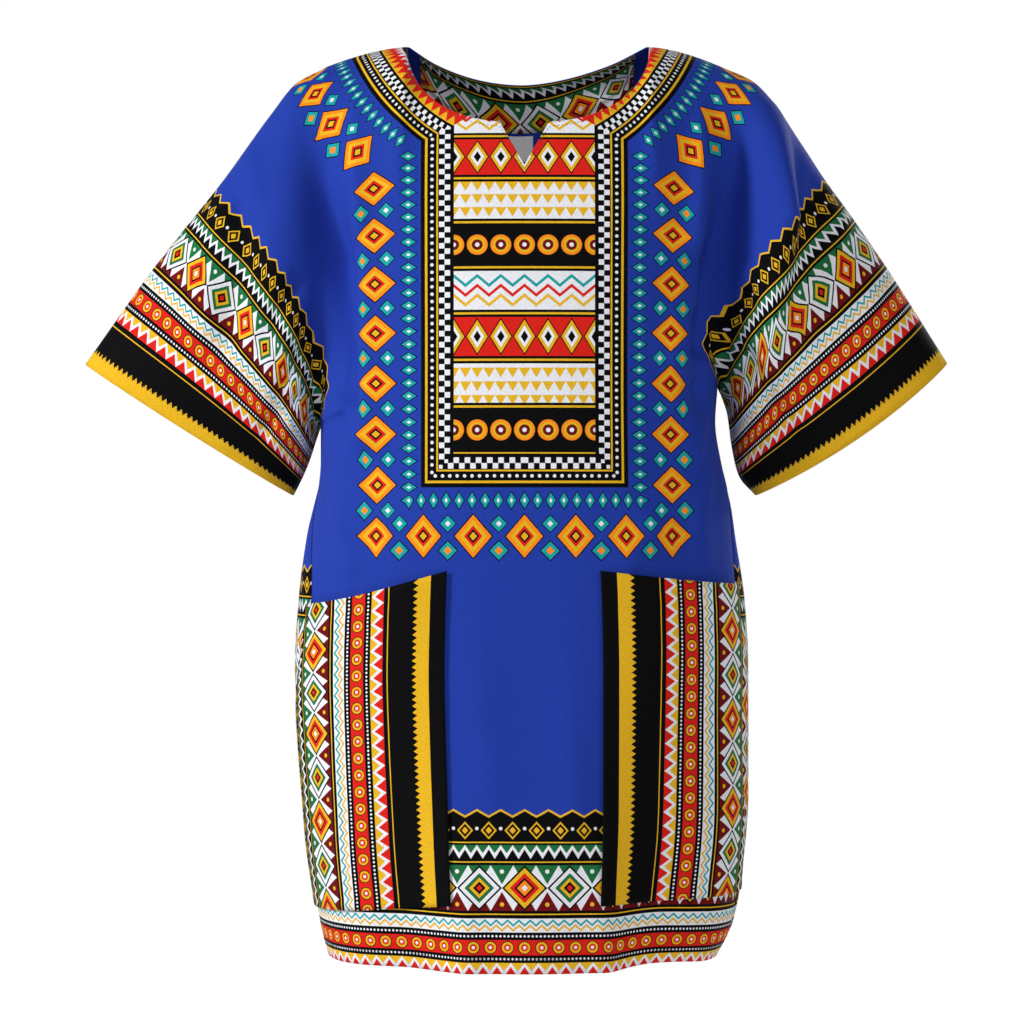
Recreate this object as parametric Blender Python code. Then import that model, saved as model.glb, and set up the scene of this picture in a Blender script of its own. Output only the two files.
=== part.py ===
"""Dashiki shirt: a hollow worn form cut as a front and a back with the half sleeves in one piece.

Metres, +Z up, the front faces -Y. The origin is where the wearer's shoulders hold the shirt: level with
the points where the shoulder seams meet the neck, midway between them, in the plane of those seams.
Left and right are the viewer's, seen from the front.
"""

import math
from collections import namedtuple

import bmesh
import bpy
from mathutils import Vector

# Cloth and seams
WALL = 0.0015
LABEL_WALL = 0.001
GAP = 0.0003

# Main sizes
HEM_Z = -0.757
NECK_LEFT = 0.098
NECK_RIGHT = 0.105
FRONT_NECK_DROP = 0.074
NOTCH_DROP = 0.036
NOTCH_HALF = 0.020
BACK_NECK_DROP = 0.023
SECTION_POWER = 2.5

# Half width of the body at each height, at the armhole above the armpit and at the side below it.
# seam is where the side seam runs on the section: 1 is the widest point, less is further forward.
Width = namedtuple("Width", "z left right left_seam right_seam")
WIDTHS = (
    Width(0.000, 0.165, 0.165, 1.00, 1.00),
    Width(-0.284, 0.169, 0.162, 1.00, 1.00),
    Width(-0.316, 0.170, 0.160, 1.00, 1.00),
    Width(-0.350, 0.170, 0.165, 1.00, 1.00),
    Width(-0.375, 0.173, 0.171, 0.94, 0.95),
    Width(-0.411, 0.181, 0.176, 0.83, 0.86),
    Width(-0.465, 0.188, 0.184, 0.74, 0.78),
    Width(-0.518, 0.191, 0.187, 0.80, 0.77),
    Width(-0.572, 0.188, 0.187, 0.93, 0.76),
    Width(-0.626, 0.183, 0.187, 0.98, 0.78),
    Width(-0.680, 0.178, 0.183, 1.00, 0.84),
    Width(-0.733, 0.170, 0.174, 1.00, 0.90),
    Width(-0.757, 0.164, 0.162, 1.00, 0.92),
)

# Depth of the body in front of and behind the seam plane, by the drop below the shoulder seam
Depth = namedtuple("Depth", "drop front back")
DEPTHS = (
    Depth(0.000, 0.000, 0.000),
    Depth(0.010, 0.032, 0.050),
    Depth(0.030, 0.058, 0.083),
    Depth(0.060, 0.078, 0.096),
    Depth(0.110, 0.100, 0.105),
    Depth(0.200, 0.121, 0.113),
    Depth(0.300, 0.132, 0.118),
    Depth(0.400, 0.138, 0.124),
    Depth(0.520, 0.144, 0.132),
    Depth(0.680, 0.150, 0.139),
    Depth(0.757, 0.152, 0.141),
)

# The shoulder seam's drop from the neck to the armhole line
SHOULDER_DROP = 0.0175

# Sleeve rings from the armhole line (share 0) to the cuff (share 1): the over-arm and underarm points
# seen from the front, how far the ring stands out before and behind the seam plane, and how far its
# middle bows out along the arm
Ring = namedtuple("Ring", "share top_x top_z low_x low_z front back bow")
LEFT_SLEEVE = (
    Ring(0.00, 0.165, -0.018, 0.170, -0.316, 0.070, 0.070, 0.000),
    Ring(0.13, 0.190, -0.031, 0.173, -0.324, 0.074, 0.072, 0.000),
    Ring(0.25, 0.212, -0.058, 0.176, -0.333, 0.076, 0.072, 0.000),
    Ring(0.45, 0.251, -0.112, 0.180, -0.346, 0.071, 0.068, 0.001),
    Ring(0.72, 0.307, -0.182, 0.187, -0.363, 0.058, 0.056, 0.001),
    Ring(1.00, 0.368, -0.267, 0.194, -0.377, 0.046, 0.046, 0.001),
)
RIGHT_SLEEVE = (
    Ring(0.00, 0.165, -0.0175, 0.162, -0.284, 0.068, 0.070, 0.000),
    Ring(0.13, 0.192, -0.030, 0.168, -0.297, 0.073, 0.072, 0.000),
    Ring(0.25, 0.211, -0.051, 0.172, -0.310, 0.076, 0.072, 0.000),
    Ring(0.45, 0.246, -0.103, 0.175, -0.334, 0.072, 0.068, 0.003),
    Ring(0.72, 0.300, -0.180, 0.181, -0.360, 0.060, 0.056, 0.005),
    Ring(1.00, 0.355, -0.266, 0.195, -0.377, 0.047, 0.046, 0.008),
)
ARMHOLE_PROFILE_NORM = 1.80

# Pocket edges: height of the top and bottom at the centre, the left side seam and the right side seam
PocketLine = namedtuple("PocketLine", "centre left right")
POCKET_TOP = PocketLine(-0.438, -0.466, -0.450)
POCKET_BOTTOM = PocketLine(-0.704, -0.716, -0.702)
POCKET_INNER = 0.333
FACING_ROWS = 2.8
LABEL_ROWS = (2.93, 3.0, 4.0)
LABEL_COLUMNS = (-1.78, -1.0, 0.0, 0.79)

# Grid: the columns of each half body as shares of the half width, then cells in the other directions
NECK_COLUMN = 0.60
BODY_COLUMNS = (0.0, 0.061, 0.121, 0.19, 0.26, POCKET_INNER, 0.41, 0.48, 0.54, NECK_COLUMN, 0.67, 0.74,
                0.81, 0.87, 0.92, 0.957, 0.985, 1.0)
ARM_ROWS = 12
POCKET_ROWS = 9
CHEST_ROWS = 5
HEM_ROWS = 2
SLEEVE_CELLS = 10

# Folds: a soft ridge (height above 0) or trough (below 0) along a straight stretch seen from the front
# or the back, with its height at both ends and its half width across. Stretches of one run share a name.
Fold = namedtuple("Fold", "run x1 z1 x2 z2 height1 height2 width")
FRONT_FOLDS = (
    Fold("left armpit", -0.174, -0.080, -0.156, -0.180, -0.004, -0.017, 0.018),
    Fold("left armpit", -0.156, -0.180, -0.150, -0.310, -0.017, -0.012, 0.018),
    Fold("left chest edge", -0.132, -0.130, -0.130, -0.330, 0.004, 0.009, 0.013),
    Fold("right armpit", 0.176, -0.090, 0.156, -0.190, -0.006, -0.019, 0.018),
    Fold("right armpit", 0.156, -0.190, 0.146, -0.290, -0.019, -0.012, 0.017),
    Fold("right chest edge", 0.150, -0.090, 0.128, -0.270, 0.003, 0.008, 0.013),
    Fold("right sleeve ridge", 0.196, -0.060, 0.214, -0.150, 0.005, 0.012, 0.015),
    Fold("right sleeve ridge", 0.214, -0.150, 0.200, -0.270, 0.012, 0.005, 0.015),
    Fold("right sleeve trough", 0.244, -0.120, 0.236, -0.240, -0.010, -0.006, 0.014),
    Fold("left sleeve tuck", -0.220, -0.140, -0.246, -0.250, -0.004, -0.009, 0.013),
    Fold("left sleeve ridge", -0.250, -0.150, -0.274, -0.240, 0.005, 0.003, 0.015),
    Fold("right drag line", 0.128, -0.300, 0.146, -0.430, 0.006, 0.005, 0.013),
    Fold("left drag line", -0.150, -0.350, -0.140, -0.430, 0.006, 0.004, 0.013),
    Fold("left hem wave", -0.106, -0.520, -0.096, -0.757, -0.002, -0.014, 0.032),
    Fold("right hem wave", 0.112, -0.540, 0.104, -0.757, -0.002, -0.016, 0.034),
    Fold("middle hem wave", 0.000, -0.560, 0.004, -0.757, 0.000, 0.005, 0.040),
)
BACK_FOLDS = (
    Fold("left armpit", -0.170, -0.080, -0.154, -0.180, -0.004, -0.016, 0.018),
    Fold("left armpit", -0.154, -0.180, -0.146, -0.300, -0.016, -0.011, 0.018),
    Fold("right armpit", 0.172, -0.080, 0.154, -0.180, -0.004, -0.017, 0.018),
    Fold("right armpit", 0.154, -0.180, 0.144, -0.280, -0.017, -0.011, 0.018),
    Fold("left blade", -0.120, -0.150, -0.112, -0.400, 0.004, 0.007, 0.018),
    Fold("right blade", 0.118, -0.140, 0.108, -0.420, 0.004, 0.006, 0.018),
    Fold("left hem wave", -0.080, -0.420, -0.092, -0.757, -0.002, -0.015, 0.032),
    Fold("middle hem wave", 0.030, -0.380, 0.020, -0.757, -0.002, -0.013, 0.034),
    Fold("right hem wave", 0.114, -0.460, 0.124, -0.757, -0.002, -0.010, 0.028),
    Fold("middle hem ridge", -0.030, -0.450, -0.036, -0.757, 0.000, 0.007, 0.028),
    Fold("right sleeve ridge", 0.216, -0.110, 0.222, -0.250, 0.009, 0.005, 0.015),
    Fold("left sleeve ridge", -0.214, -0.100, -0.226, -0.260, 0.009, 0.004, 0.015),
)


def smooth(low, high, value):
    """Ease from 0 at low to 1 at high."""
    share = min(1.0, max(0.0, (value - low) / (high - low)))
    return share * share * (3.0 - 2.0 * share)


def mix(first, second, share):
    return first + (second - first) * share


def read(table, key, name, at):
    """Read one named column of a table at a key, on a smooth curve that never overshoots its rows."""
    rows = sorted(table, key=lambda row: getattr(row, key))
    keys = [getattr(row, key) for row in rows]
    values = [getattr(row, name) for row in rows]
    at = min(keys[-1], max(keys[0], at))
    last = len(rows) - 1
    i = next(k for k in range(last) if at <= keys[k + 1])
    slopes = [(values[k + 1] - values[k]) / (keys[k + 1] - keys[k]) for k in range(last)]

    def tangent(k):
        if k in (0, last):
            return slopes[min(k, last - 1)]
        before, after = slopes[k - 1], slopes[k]
        if before * after <= 0.0:
            return 0.0
        return 2.0 * before * after / (before + after)

    span = keys[i + 1] - keys[i]
    t = (at - keys[i]) / span
    rise = values[i + 1] - values[i]
    start = tangent(i) * span
    end = tangent(i + 1) * span
    return values[i] + start * t + (3 * rise - 2 * start - end) * t * t + (start + end - 2 * rise) * t ** 3


def shoulder_z(x):
    """Height of the shoulder seam over a point of the body, level across the neck."""
    neck = NECK_LEFT if x < 0 else NECK_RIGHT
    share = max(0.0, (abs(x) - neck) / (WIDTHS[0].left - neck))
    return -SHOULDER_DROP * share ** 1.6


def top_z(x, front):
    """Height of the panel's top edge: the shoulder seam, or the neck edge between the seams."""
    neck = NECK_LEFT if x < 0 else NECK_RIGHT
    share = abs(x) / neck
    if share >= 1.0:
        return shoulder_z(x)
    if not front:
        return -BACK_NECK_DROP * (1.0 - share ** (2.0 if x < 0 else 1.6))
    arc = (1.0 - share ** 2.6) ** 0.5
    notch = NOTCH_DROP * max(0.0, 1.0 - abs(x) / NOTCH_HALF)
    return -FRONT_NECK_DROP * arc - notch


def half_width(x, z):
    return read(WIDTHS, "z", "left" if x < 0 else "right", z)


def body_depth(z, x, front):
    """Depth of the body's middle at a height, measured from the shoulder seam near the top."""
    near_top = 1.0 - smooth(0.05, 0.28, -z)
    drop = max(0.0, shoulder_z(x) * near_top - z)
    return read(DEPTHS, "drop", "front" if front else "back", drop)


def sleeve_ring(sign, share, name):
    return read(LEFT_SLEEVE if sign < 0 else RIGHT_SLEEVE, "share", name, share)


def ring_share(row):
    """Share of the way from the over-arm seam to the underarm seam at a row from 0 to 1."""
    return 0.5 - 0.5 * math.cos(math.pi * row)


def armhole_depth(sign, row, front):
    """Depth of the armhole line: full below the shoulder, drawn in towards the armpit."""
    share = ring_share(row)
    middle = sleeve_ring(sign, 0.0, "front" if front else "back")
    return middle * ARMHOLE_PROFILE_NORM * share ** 0.45 * (1.0 - share) ** 0.4


def armpit_z(x):
    """Height of the row that runs across the body from one armpit to the other."""
    return mix(LEFT_SLEEVE[0].low_z, RIGHT_SLEEVE[0].low_z, 0.5 + 0.5 * x / WIDTHS[1].left)


def pocket_z(line, share, front):
    """Height of a row that follows a pocket's edge, sloped only beyond the pocket's inner edge."""
    side = line.left if share < 0 else line.right
    if not front:
        return mix(line.left, line.right, 0.5 + 0.5 * share)
    slope = max(0.0, (abs(share) - POCKET_INNER) / (1.0 - POCKET_INNER))
    return mix(line.centre, side, slope)


def top_x(share):
    """Side position on the panel's top edge, with one column exactly at the neck's corner."""
    neck = NECK_LEFT if share < 0 else NECK_RIGHT
    out = abs(share)
    if out <= NECK_COLUMN:
        x = neck * out / NECK_COLUMN
    else:
        x = mix(neck, WIDTHS[0].left, (out - NECK_COLUMN) / (1.0 - NECK_COLUMN))
    return math.copysign(x, share)


def upper_point(share, row, front):
    """Point of the body between the neck or shoulder (row 0) and the armpit row (row 1)."""
    sign = -1 if share < 0 else 1
    fall = mix(row ** 1.35, ring_share(row), abs(share) ** 4)
    x = mix(top_x(share), share * sleeve_ring(sign, 0.0, "low_x"), fall)
    z = mix(top_z(top_x(share), front), armpit_z(share * WIDTHS[1].left), fall)
    at_side = armhole_depth(sign, row, front)
    middle = body_depth(z, x, front)
    over_shoulder = 0.5 + 0.5 * math.cos(math.pi * share * share)
    over_chest = (1.0 - abs(share) ** SECTION_POWER) ** mix(1.0, 1.0 / SECTION_POWER, smooth(0.55, 1.0, row))
    y = at_side + (middle - at_side) * mix(over_shoulder, over_chest, smooth(0.25, 0.65, row))
    return x, y, z


def section_point(share, turn, z, front):
    """Point of the body below the armpits; turn runs from 0 at the middle to 1 at the widest point."""
    angle = 0.5 * math.pi * turn
    across = max(0.0, math.sin(angle)) ** (2.0 / SECTION_POWER)
    along = max(0.0, math.cos(angle)) ** (2.0 / SECTION_POWER)
    sign = -1 if share < 0 else 1
    x = sign * half_width(sign, z) * across
    return x, body_depth(z, x, front) * along, z


def share_to_turn(share):
    """Turn whose point lies at a share of the half width."""
    return math.asin(min(1.0, abs(share) ** (0.5 * SECTION_POWER))) * 2.0 / math.pi


def seam_turn(sign, z):
    """Turn of the side seam, counted from the front's middle."""
    return read(WIDTHS, "z", "left_seam" if sign < 0 else "right_seam", z)


def lower_point(share, z, front):
    """Point of the body below the armpits, with the columns drawn up to the side seam."""
    sign = -1 if share < 0 else 1
    turn = share_to_turn(share)
    seam = seam_turn(sign, z)
    fixed = share_to_turn(POCKET_INNER)
    if front:
        if turn > fixed:
            turn = fixed + (turn - fixed) * (seam - fixed) / (1.0 - fixed)
        return section_point(share, turn, z, True)
    reach = 2.0 - seam
    if turn > fixed:
        turn = fixed + (turn - fixed) * (reach - fixed) / (1.0 - fixed)
    if turn <= 1.0:
        return section_point(share, turn, z, False)
    x, depth, height = section_point(share, 2.0 - turn, z, True)
    return x, -depth, height


def sleeve_point(sign, along, row, front):
    """Point of a half sleeve; along runs from the armhole line to the cuff, row from over- to underarm."""
    share = ring_share(row)
    top = Vector((sleeve_ring(sign, along, "top_x"), sleeve_ring(sign, along, "top_z")))
    low = Vector((sleeve_ring(sign, along, "low_x"), sleeve_ring(sign, along, "low_z")))
    down_arm = Vector((top.y - low.y, low.x - top.x)).normalized()
    place = top.lerp(low, share) + down_arm * sleeve_ring(sign, along, "bow") * 4.0 * share * (1.0 - share)
    middle = sleeve_ring(sign, along, "front" if front else "back")
    round_depth = middle * max(0.0, math.sin(math.pi * row)) ** 0.85
    depth = mix(armhole_depth(sign, row, front), round_depth, smooth(0.0, 0.4, along))
    return sign * place.x, depth, place.y


def fold_height(x, z, front):
    """Height of the folds at a point: the strongest stretch of each run, summed over the runs."""
    runs = {}
    for fold in FRONT_FOLDS if front else BACK_FOLDS:
        run_x = fold.x2 - fold.x1
        run_z = fold.z2 - fold.z1
        along = ((x - fold.x1) * run_x + (z - fold.z1) * run_z) / (run_x ** 2 + run_z ** 2)
        along = min(1.0, max(0.0, along))
        away = math.hypot(x - fold.x1 - run_x * along, z - fold.z1 - run_z * along)
        height = mix(fold.height1, fold.height2, along) * math.exp(-(away / fold.width) ** 2)
        runs[fold.run] = max(runs.get(fold.run, 0.0), height, key=abs)
    return sum(runs.values())


HALF = len(BODY_COLUMNS) - 1
POCKET_START = ARM_ROWS + CHEST_ROWS
POCKET_END = POCKET_START + POCKET_ROWS
LAST_ROW = POCKET_END + HEM_ROWS


def share_at(column):
    """Share of the half width at a column; 0 is the left armhole line and 2 * HALF the right one."""
    out = min(float(HALF), abs(column - HALF))
    whole = min(HALF - 1, int(out))
    share = mix(BODY_COLUMNS[whole], BODY_COLUMNS[whole + 1], out - whole)
    return -share if column < HALF else share


def lower_z(share, row, front):
    """Height of a row below the armpits: it eases from the armpit row to the pocket's rows and the hem."""
    start = armpit_z(share * WIDTHS[1].left)
    high = pocket_z(POCKET_TOP, share, front)
    low = pocket_z(POCKET_BOTTOM, share, front)
    if row <= POCKET_START:
        return mix(start, high, (row - ARM_ROWS) / CHEST_ROWS)
    if row <= POCKET_END:
        return mix(high, low, (row - POCKET_START) / POCKET_ROWS)
    return mix(low, HEM_Z, (row - POCKET_END) / HEM_ROWS)


def plain_point(column, row, front):
    """Point of a panel before its folds, and how much of the folds it takes (none at a seam)."""
    arm = row / ARM_ROWS
    if column < 0 or column > 2 * HALF:
        sign = -1 if column < 0 else 1
        along = (-column if column < 0 else column - 2 * HALF) / SLEEVE_CELLS
        fade = smooth(0.0, 0.15, arm) * smooth(0.0, 0.15, 1.0 - arm)
        return sleeve_point(sign, along, arm, front), fade
    share = share_at(column)
    if row < ARM_ROWS:
        near_armpit = smooth(0.8, 1.0, arm) * smooth(0.85, 1.0, abs(share))
        return upper_point(share, arm, front), smooth(0.0, 0.15, arm) * (1.0 - near_armpit)
    point = lower_point(share, lower_z(share, row, front), front)
    return point, 1.0 - smooth(0.85, 1.0, abs(share))


def plain_normal(column, row, front):
    """Outward direction of the panel before its folds."""
    step = 0.02
    low_column, high_column = column - step, column + step
    low_row, high_row = max(0.0, row - step), min(float(LAST_ROW), row + step)
    if row > ARM_ROWS:
        low_column, high_column = max(0.0, low_column), min(2.0 * HALF, high_column)
    low_column = max(-float(SLEEVE_CELLS), low_column)
    high_column = min(2.0 * HALF + SLEEVE_CELLS, high_column)
    if column <= 0 or column >= 2 * HALF:
        if row <= ARM_ROWS:
            high_row = min(high_row, float(ARM_ROWS))
    across = Vector(plain_point(high_column, row, front)[0]) - Vector(plain_point(low_column, row, front)[0])
    down = Vector(plain_point(column, high_row, front)[0]) - Vector(plain_point(column, low_row, front)[0])
    return across.cross(down).normalized()


def panel_vertex(column, row, front):
    """Outer point of a panel and its outward direction, in place."""
    (x, depth, z), fade = plain_point(column, row, front)
    normal = plain_normal(column, row, front)
    on_plane_seam = row == 0 and abs(share_at(column)) >= NECK_COLUMN
    on_underarm = row == ARM_ROWS and (column < 0 or column > 2 * HALF)
    if on_plane_seam or on_underarm:
        normal.y = 0.0
        normal.normalize()
    if row == ARM_ROWS and column in (0, 2 * HALF):
        normal = Vector((0.0, 0.0, -3.0))
    point = Vector((x, depth, z)) + normal * fold_height(x, z, front) * fade
    facing = -1.0 if front else 1.0
    return (Vector((point.x, facing * (point.y + 0.5 * GAP), point.z)),
            Vector((normal.x, facing * normal.y, normal.z)))


def panel_cells():
    """Cells of a panel by their top left corner: the body and, beside its armholes, the half sleeves."""
    cells = [(column, row) for column in range(2 * HALF) for row in range(LAST_ROW)]
    for row in range(ARM_ROWS):
        cells += [(-k, row) for k in range(1, SLEEVE_CELLS + 1)]
        cells += [(2 * HALF + k, row) for k in range(SLEEVE_CELLS)]
    return cells


def make_material(name, colour, roughness):
    material = bpy.data.materials.new(name)
    material.use_nodes = True
    shader = material.node_tree.nodes["Principled BSDF"]
    shader.inputs["Base Color"].default_value = (*colour, 1.0)
    shader.inputs["Roughness"].default_value = roughness
    shader.inputs["Metallic"].default_value = 0.0
    return material


def wall_object(name, outer, inner, cells, material):
    """Closed wall between two layers of points that share their keys, with rims round its open edges."""
    bm = bmesh.new()
    layers = [{key: bm.verts.new(points[key]) for key in points} for points in (outer, inner)]
    for a, b, c, d in cells:
        bm.faces.new([layers[0][key] for key in (a, b, c, d)])
        bm.faces.new([layers[1][key] for key in (a, d, c, b)])
    below = {layers[0][key]: layers[1][key] for key in outer}
    for edge in [edge for edge in bm.edges if edge.is_boundary and edge.verts[0] in below]:
        start, end = edge.verts
        bm.faces.new([start, end, below[end], below[start]])
    bmesh.ops.triangulate(bm, faces=bm.faces, quad_method="FIXED")
    bmesh.ops.recalc_face_normals(bm, faces=bm.faces)
    mesh = bpy.data.meshes.new(name)
    bm.to_mesh(mesh)
    bm.free()
    mesh.materials.append(material)
    mesh.shade_smooth()
    piece = bpy.data.objects.new(name, mesh)
    bpy.context.scene.collection.objects.link(piece)
    return piece


def make_panel(name, front, material):
    """Front or back with its half sleeves. Returns its outer points and outward directions by grid key."""
    cells = [((c, r), (c + 1, r), (c + 1, r + 1), (c, r + 1)) for c, r in panel_cells()]
    keys = sorted({key for corners in cells for key in corners})
    outer, normals = {}, {}
    for key in keys:
        outer[key], normals[key] = panel_vertex(*key, front)
    inner = {key: outer[key] - normals[key] * WALL for key in keys}
    wall_object(name, outer, inner, cells, material)
    return outer, normals


def on_grid(points, column, row):
    """Point between four grid points, where the faceted panel itself runs."""
    c = min(int(math.floor(column)), 2 * HALF - 1)
    r = min(int(math.floor(row)), LAST_ROW - 1)
    top = points[(c, r)].lerp(points[(c + 1, r)], column - c)
    low = points[(c, r + 1)].lerp(points[(c + 1, r + 1)], column - c)
    return top.lerp(low, row - r)


def layered_piece(name, panel, columns, rows, start, end, material):
    """Piece that lies on a panel: its points are the panel's own, moved out from start to end."""
    points, normals = panel
    low, high = {}, {}
    for i, column in enumerate(columns):
        for j, row in enumerate(rows):
            base = on_grid(points, column, row)
            normal = on_grid(normals, column, row).normalized()
            low[(i, j)] = base + normal * start
            high[(i, j)] = base + normal * end
    cells = [((i, j), (i + 1, j), (i + 1, j + 1), (i, j + 1))
             for i in range(len(columns) - 1) for j in range(len(rows) - 1)]
    return wall_object(name, low, high, cells, material)


def make_pocket(name, panel, sign, material):
    """Patch pocket between the column at its inner edge and the side seam, moved out from the front."""
    inner = BODY_COLUMNS.index(POCKET_INNER)
    columns = sorted(HALF + sign * out for out in range(inner, HALF + 1))
    rows = list(range(POCKET_START, POCKET_END + 1))
    return layered_piece(name, panel, columns, rows, GAP, GAP + WALL, material)


def make_facing(panel, material):
    """Strip turned inside along the back neck, moved in from the back's inner wall."""
    reach = BODY_COLUMNS.index(NECK_COLUMN) - 1
    columns = list(range(HALF - reach, HALF + reach + 1))
    rows = list(range(int(FACING_ROWS) + 1)) + [FACING_ROWS]
    return layered_piece("neck_facing", panel, columns, rows, -WALL - GAP, -2 * WALL - GAP, material)


def make_label(panel, material):
    """Small woven label hanging just below the facing, bare of any text."""
    columns = [HALF + column for column in LABEL_COLUMNS]
    return layered_piece("label", panel, columns, LABEL_ROWS, -WALL - GAP, -WALL - GAP - LABEL_WALL, material)


def main():
    for old in list(bpy.data.objects):
        bpy.data.objects.remove(old, do_unlink=True)
    cotton = make_material("printed_cotton", (0.034, 0.062, 0.480), 0.75)
    border = make_material("border_cotton", (0.010, 0.010, 0.011), 0.78)
    woven = make_material("woven_label", (0.80, 0.80, 0.82), 0.60)
    front_panel = make_panel("front", True, cotton)
    back_panel = make_panel("back", False, cotton)
    make_pocket("pocket_left", front_panel, -1, border)
    make_pocket("pocket_right", front_panel, 1, border)
    make_facing(back_panel, border)
    make_label(back_panel, woven)


if __name__ == "__main__":
    main()
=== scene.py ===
"""Dashiki shirt in printed cotton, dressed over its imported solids.

It adds folds, print, pockets, facing, label and stitching.

Metres, +Z up, the front faces -Y. The origin is where the wearer's shoulders hold the shirt. Left and right are the
viewer's, seen from the front.
"""

import math
from collections import namedtuple

import bmesh
import bpy
import numpy as np
from mathutils import Matrix, Vector


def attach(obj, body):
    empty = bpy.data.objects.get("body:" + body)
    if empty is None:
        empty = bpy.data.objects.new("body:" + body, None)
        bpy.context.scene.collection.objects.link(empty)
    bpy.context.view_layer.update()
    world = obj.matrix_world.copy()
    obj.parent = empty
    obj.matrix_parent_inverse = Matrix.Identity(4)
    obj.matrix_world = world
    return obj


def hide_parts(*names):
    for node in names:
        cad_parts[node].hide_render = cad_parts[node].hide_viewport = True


bl_info = {
    "name": "Dashiki shirt",
    "version": (1, 0, 0),
    "blender": (4, 5, 0),
    "location": "View3D > Sidebar > Shirt",
    "description": "Builds a hollow worn dashiki shirt in printed cotton around its packed solids",
    "category": "Object",
}

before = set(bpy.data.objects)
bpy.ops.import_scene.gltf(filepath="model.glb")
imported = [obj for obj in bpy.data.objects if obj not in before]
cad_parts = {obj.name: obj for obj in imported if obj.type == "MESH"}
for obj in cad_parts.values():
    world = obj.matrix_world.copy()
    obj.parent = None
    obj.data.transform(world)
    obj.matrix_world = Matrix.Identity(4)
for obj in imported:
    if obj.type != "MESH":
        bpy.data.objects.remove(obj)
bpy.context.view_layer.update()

MM = 0.001

# ---- The worn form: the same named values as the solids have ----
HEM_Z = -0.757
NECK_LEFT = 0.098
NECK_RIGHT = 0.105
FRONT_NECK_DROP = 0.074
NOTCH_DROP = 0.036
NOTCH_HALF = 0.020
BACK_NECK_DROP = 0.023
SECTION_POWER = 2.5
SHOULDER_DROP = 0.0175
ARMHOLE_PROFILE_NORM = 1.80
ARMHOLE_X = 0.165
SHOULDER_POWER = 1.6
FRONT_NECK_POWER = 2.6
BACK_NECK_LEFT_POWER = 2.0
BACK_NECK_RIGHT_POWER = 1.6
ARMHOLE_POWER_OVER = 0.45
ARMHOLE_POWER_UNDER = 0.4
SLEEVE_POWER = 0.85
FALL_POWER = 1.35
SIDE_POWER = 4

Width = namedtuple("Width", "z left right left_seam right_seam")
WIDTHS = (
    Width(0.000, 0.165, 0.165, 1.00, 1.00),
    Width(-0.284, 0.169, 0.162, 1.00, 1.00),
    Width(-0.316, 0.170, 0.160, 1.00, 1.00),
    Width(-0.350, 0.170, 0.165, 1.00, 1.00),
    Width(-0.375, 0.173, 0.171, 0.94, 0.95),
    Width(-0.411, 0.181, 0.176, 0.83, 0.86),
    Width(-0.465, 0.188, 0.184, 0.74, 0.78),
    Width(-0.518, 0.191, 0.187, 0.80, 0.77),
    Width(-0.572, 0.188, 0.187, 0.93, 0.76),
    Width(-0.626, 0.183, 0.187, 0.98, 0.78),
    Width(-0.680, 0.178, 0.183, 1.00, 0.84),
    Width(-0.733, 0.170, 0.174, 1.00, 0.90),
    Width(-0.757, 0.164, 0.162, 1.00, 0.92),
)
Depth = namedtuple("Depth", "drop front back")
DEPTHS = (
    Depth(0.000, 0.000, 0.000),
    Depth(0.010, 0.032, 0.050),
    Depth(0.030, 0.058, 0.083),
    Depth(0.060, 0.078, 0.096),
    Depth(0.110, 0.100, 0.105),
    Depth(0.200, 0.121, 0.113),
    Depth(0.300, 0.132, 0.118),
    Depth(0.400, 0.138, 0.124),
    Depth(0.520, 0.144, 0.132),
    Depth(0.680, 0.150, 0.139),
    Depth(0.757, 0.152, 0.141),
)
Ring = namedtuple("Ring", "share top_x top_z low_x low_z front back bow")
LEFT_SLEEVE = (
    Ring(0.00, 0.165, -0.018, 0.170, -0.316, 0.070, 0.070, 0.000),
    Ring(0.13, 0.190, -0.031, 0.173, -0.324, 0.074, 0.072, 0.000),
    Ring(0.25, 0.212, -0.058, 0.176, -0.333, 0.076, 0.072, 0.000),
    Ring(0.45, 0.251, -0.112, 0.180, -0.346, 0.071, 0.068, 0.001),
    Ring(0.72, 0.307, -0.182, 0.187, -0.363, 0.058, 0.056, 0.001),
    Ring(1.00, 0.368, -0.267, 0.194, -0.377, 0.046, 0.046, 0.001),
)
RIGHT_SLEEVE = (
    Ring(0.00, 0.165, -0.0175, 0.162, -0.284, 0.068, 0.070, 0.000),
    Ring(0.13, 0.192, -0.030, 0.168, -0.297, 0.073, 0.072, 0.000),
    Ring(0.25, 0.211, -0.051, 0.172, -0.310, 0.076, 0.072, 0.000),
    Ring(0.45, 0.246, -0.103, 0.175, -0.334, 0.072, 0.068, 0.003),
    Ring(0.72, 0.300, -0.180, 0.181, -0.360, 0.060, 0.056, 0.005),
    Ring(1.00, 0.355, -0.266, 0.195, -0.377, 0.047, 0.046, 0.008),
)
PocketLine = namedtuple("PocketLine", "centre left right")
POCKET_TOP = PocketLine(-0.438, -0.466, -0.450)
POCKET_BOTTOM = PocketLine(-0.704, -0.716, -0.702)
POCKET_INNER = 0.333
FACING_ROWS = 2.8
LABEL_ROWS = (2.93, 4.0)
LABEL_COLUMNS = (-1.78, 0.79)
NECK_COLUMN = 0.60
BODY_COLUMNS = (0.0, 0.061, 0.121, 0.19, 0.26, POCKET_INNER, 0.41, 0.48, 0.54, NECK_COLUMN, 0.67, 0.74,
                0.81, 0.87, 0.92, 0.957, 0.985, 1.0)
HALF = len(BODY_COLUMNS) - 1
ARM_ROWS = 12
CHEST_ROWS = 5
POCKET_ROWS = 9
HEM_ROWS = 2
SLEEVE_CELLS = 10
POCKET_START = ARM_ROWS + CHEST_ROWS
POCKET_END = POCKET_START + POCKET_ROWS
LAST_ROW = POCKET_END + HEM_ROWS

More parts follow.
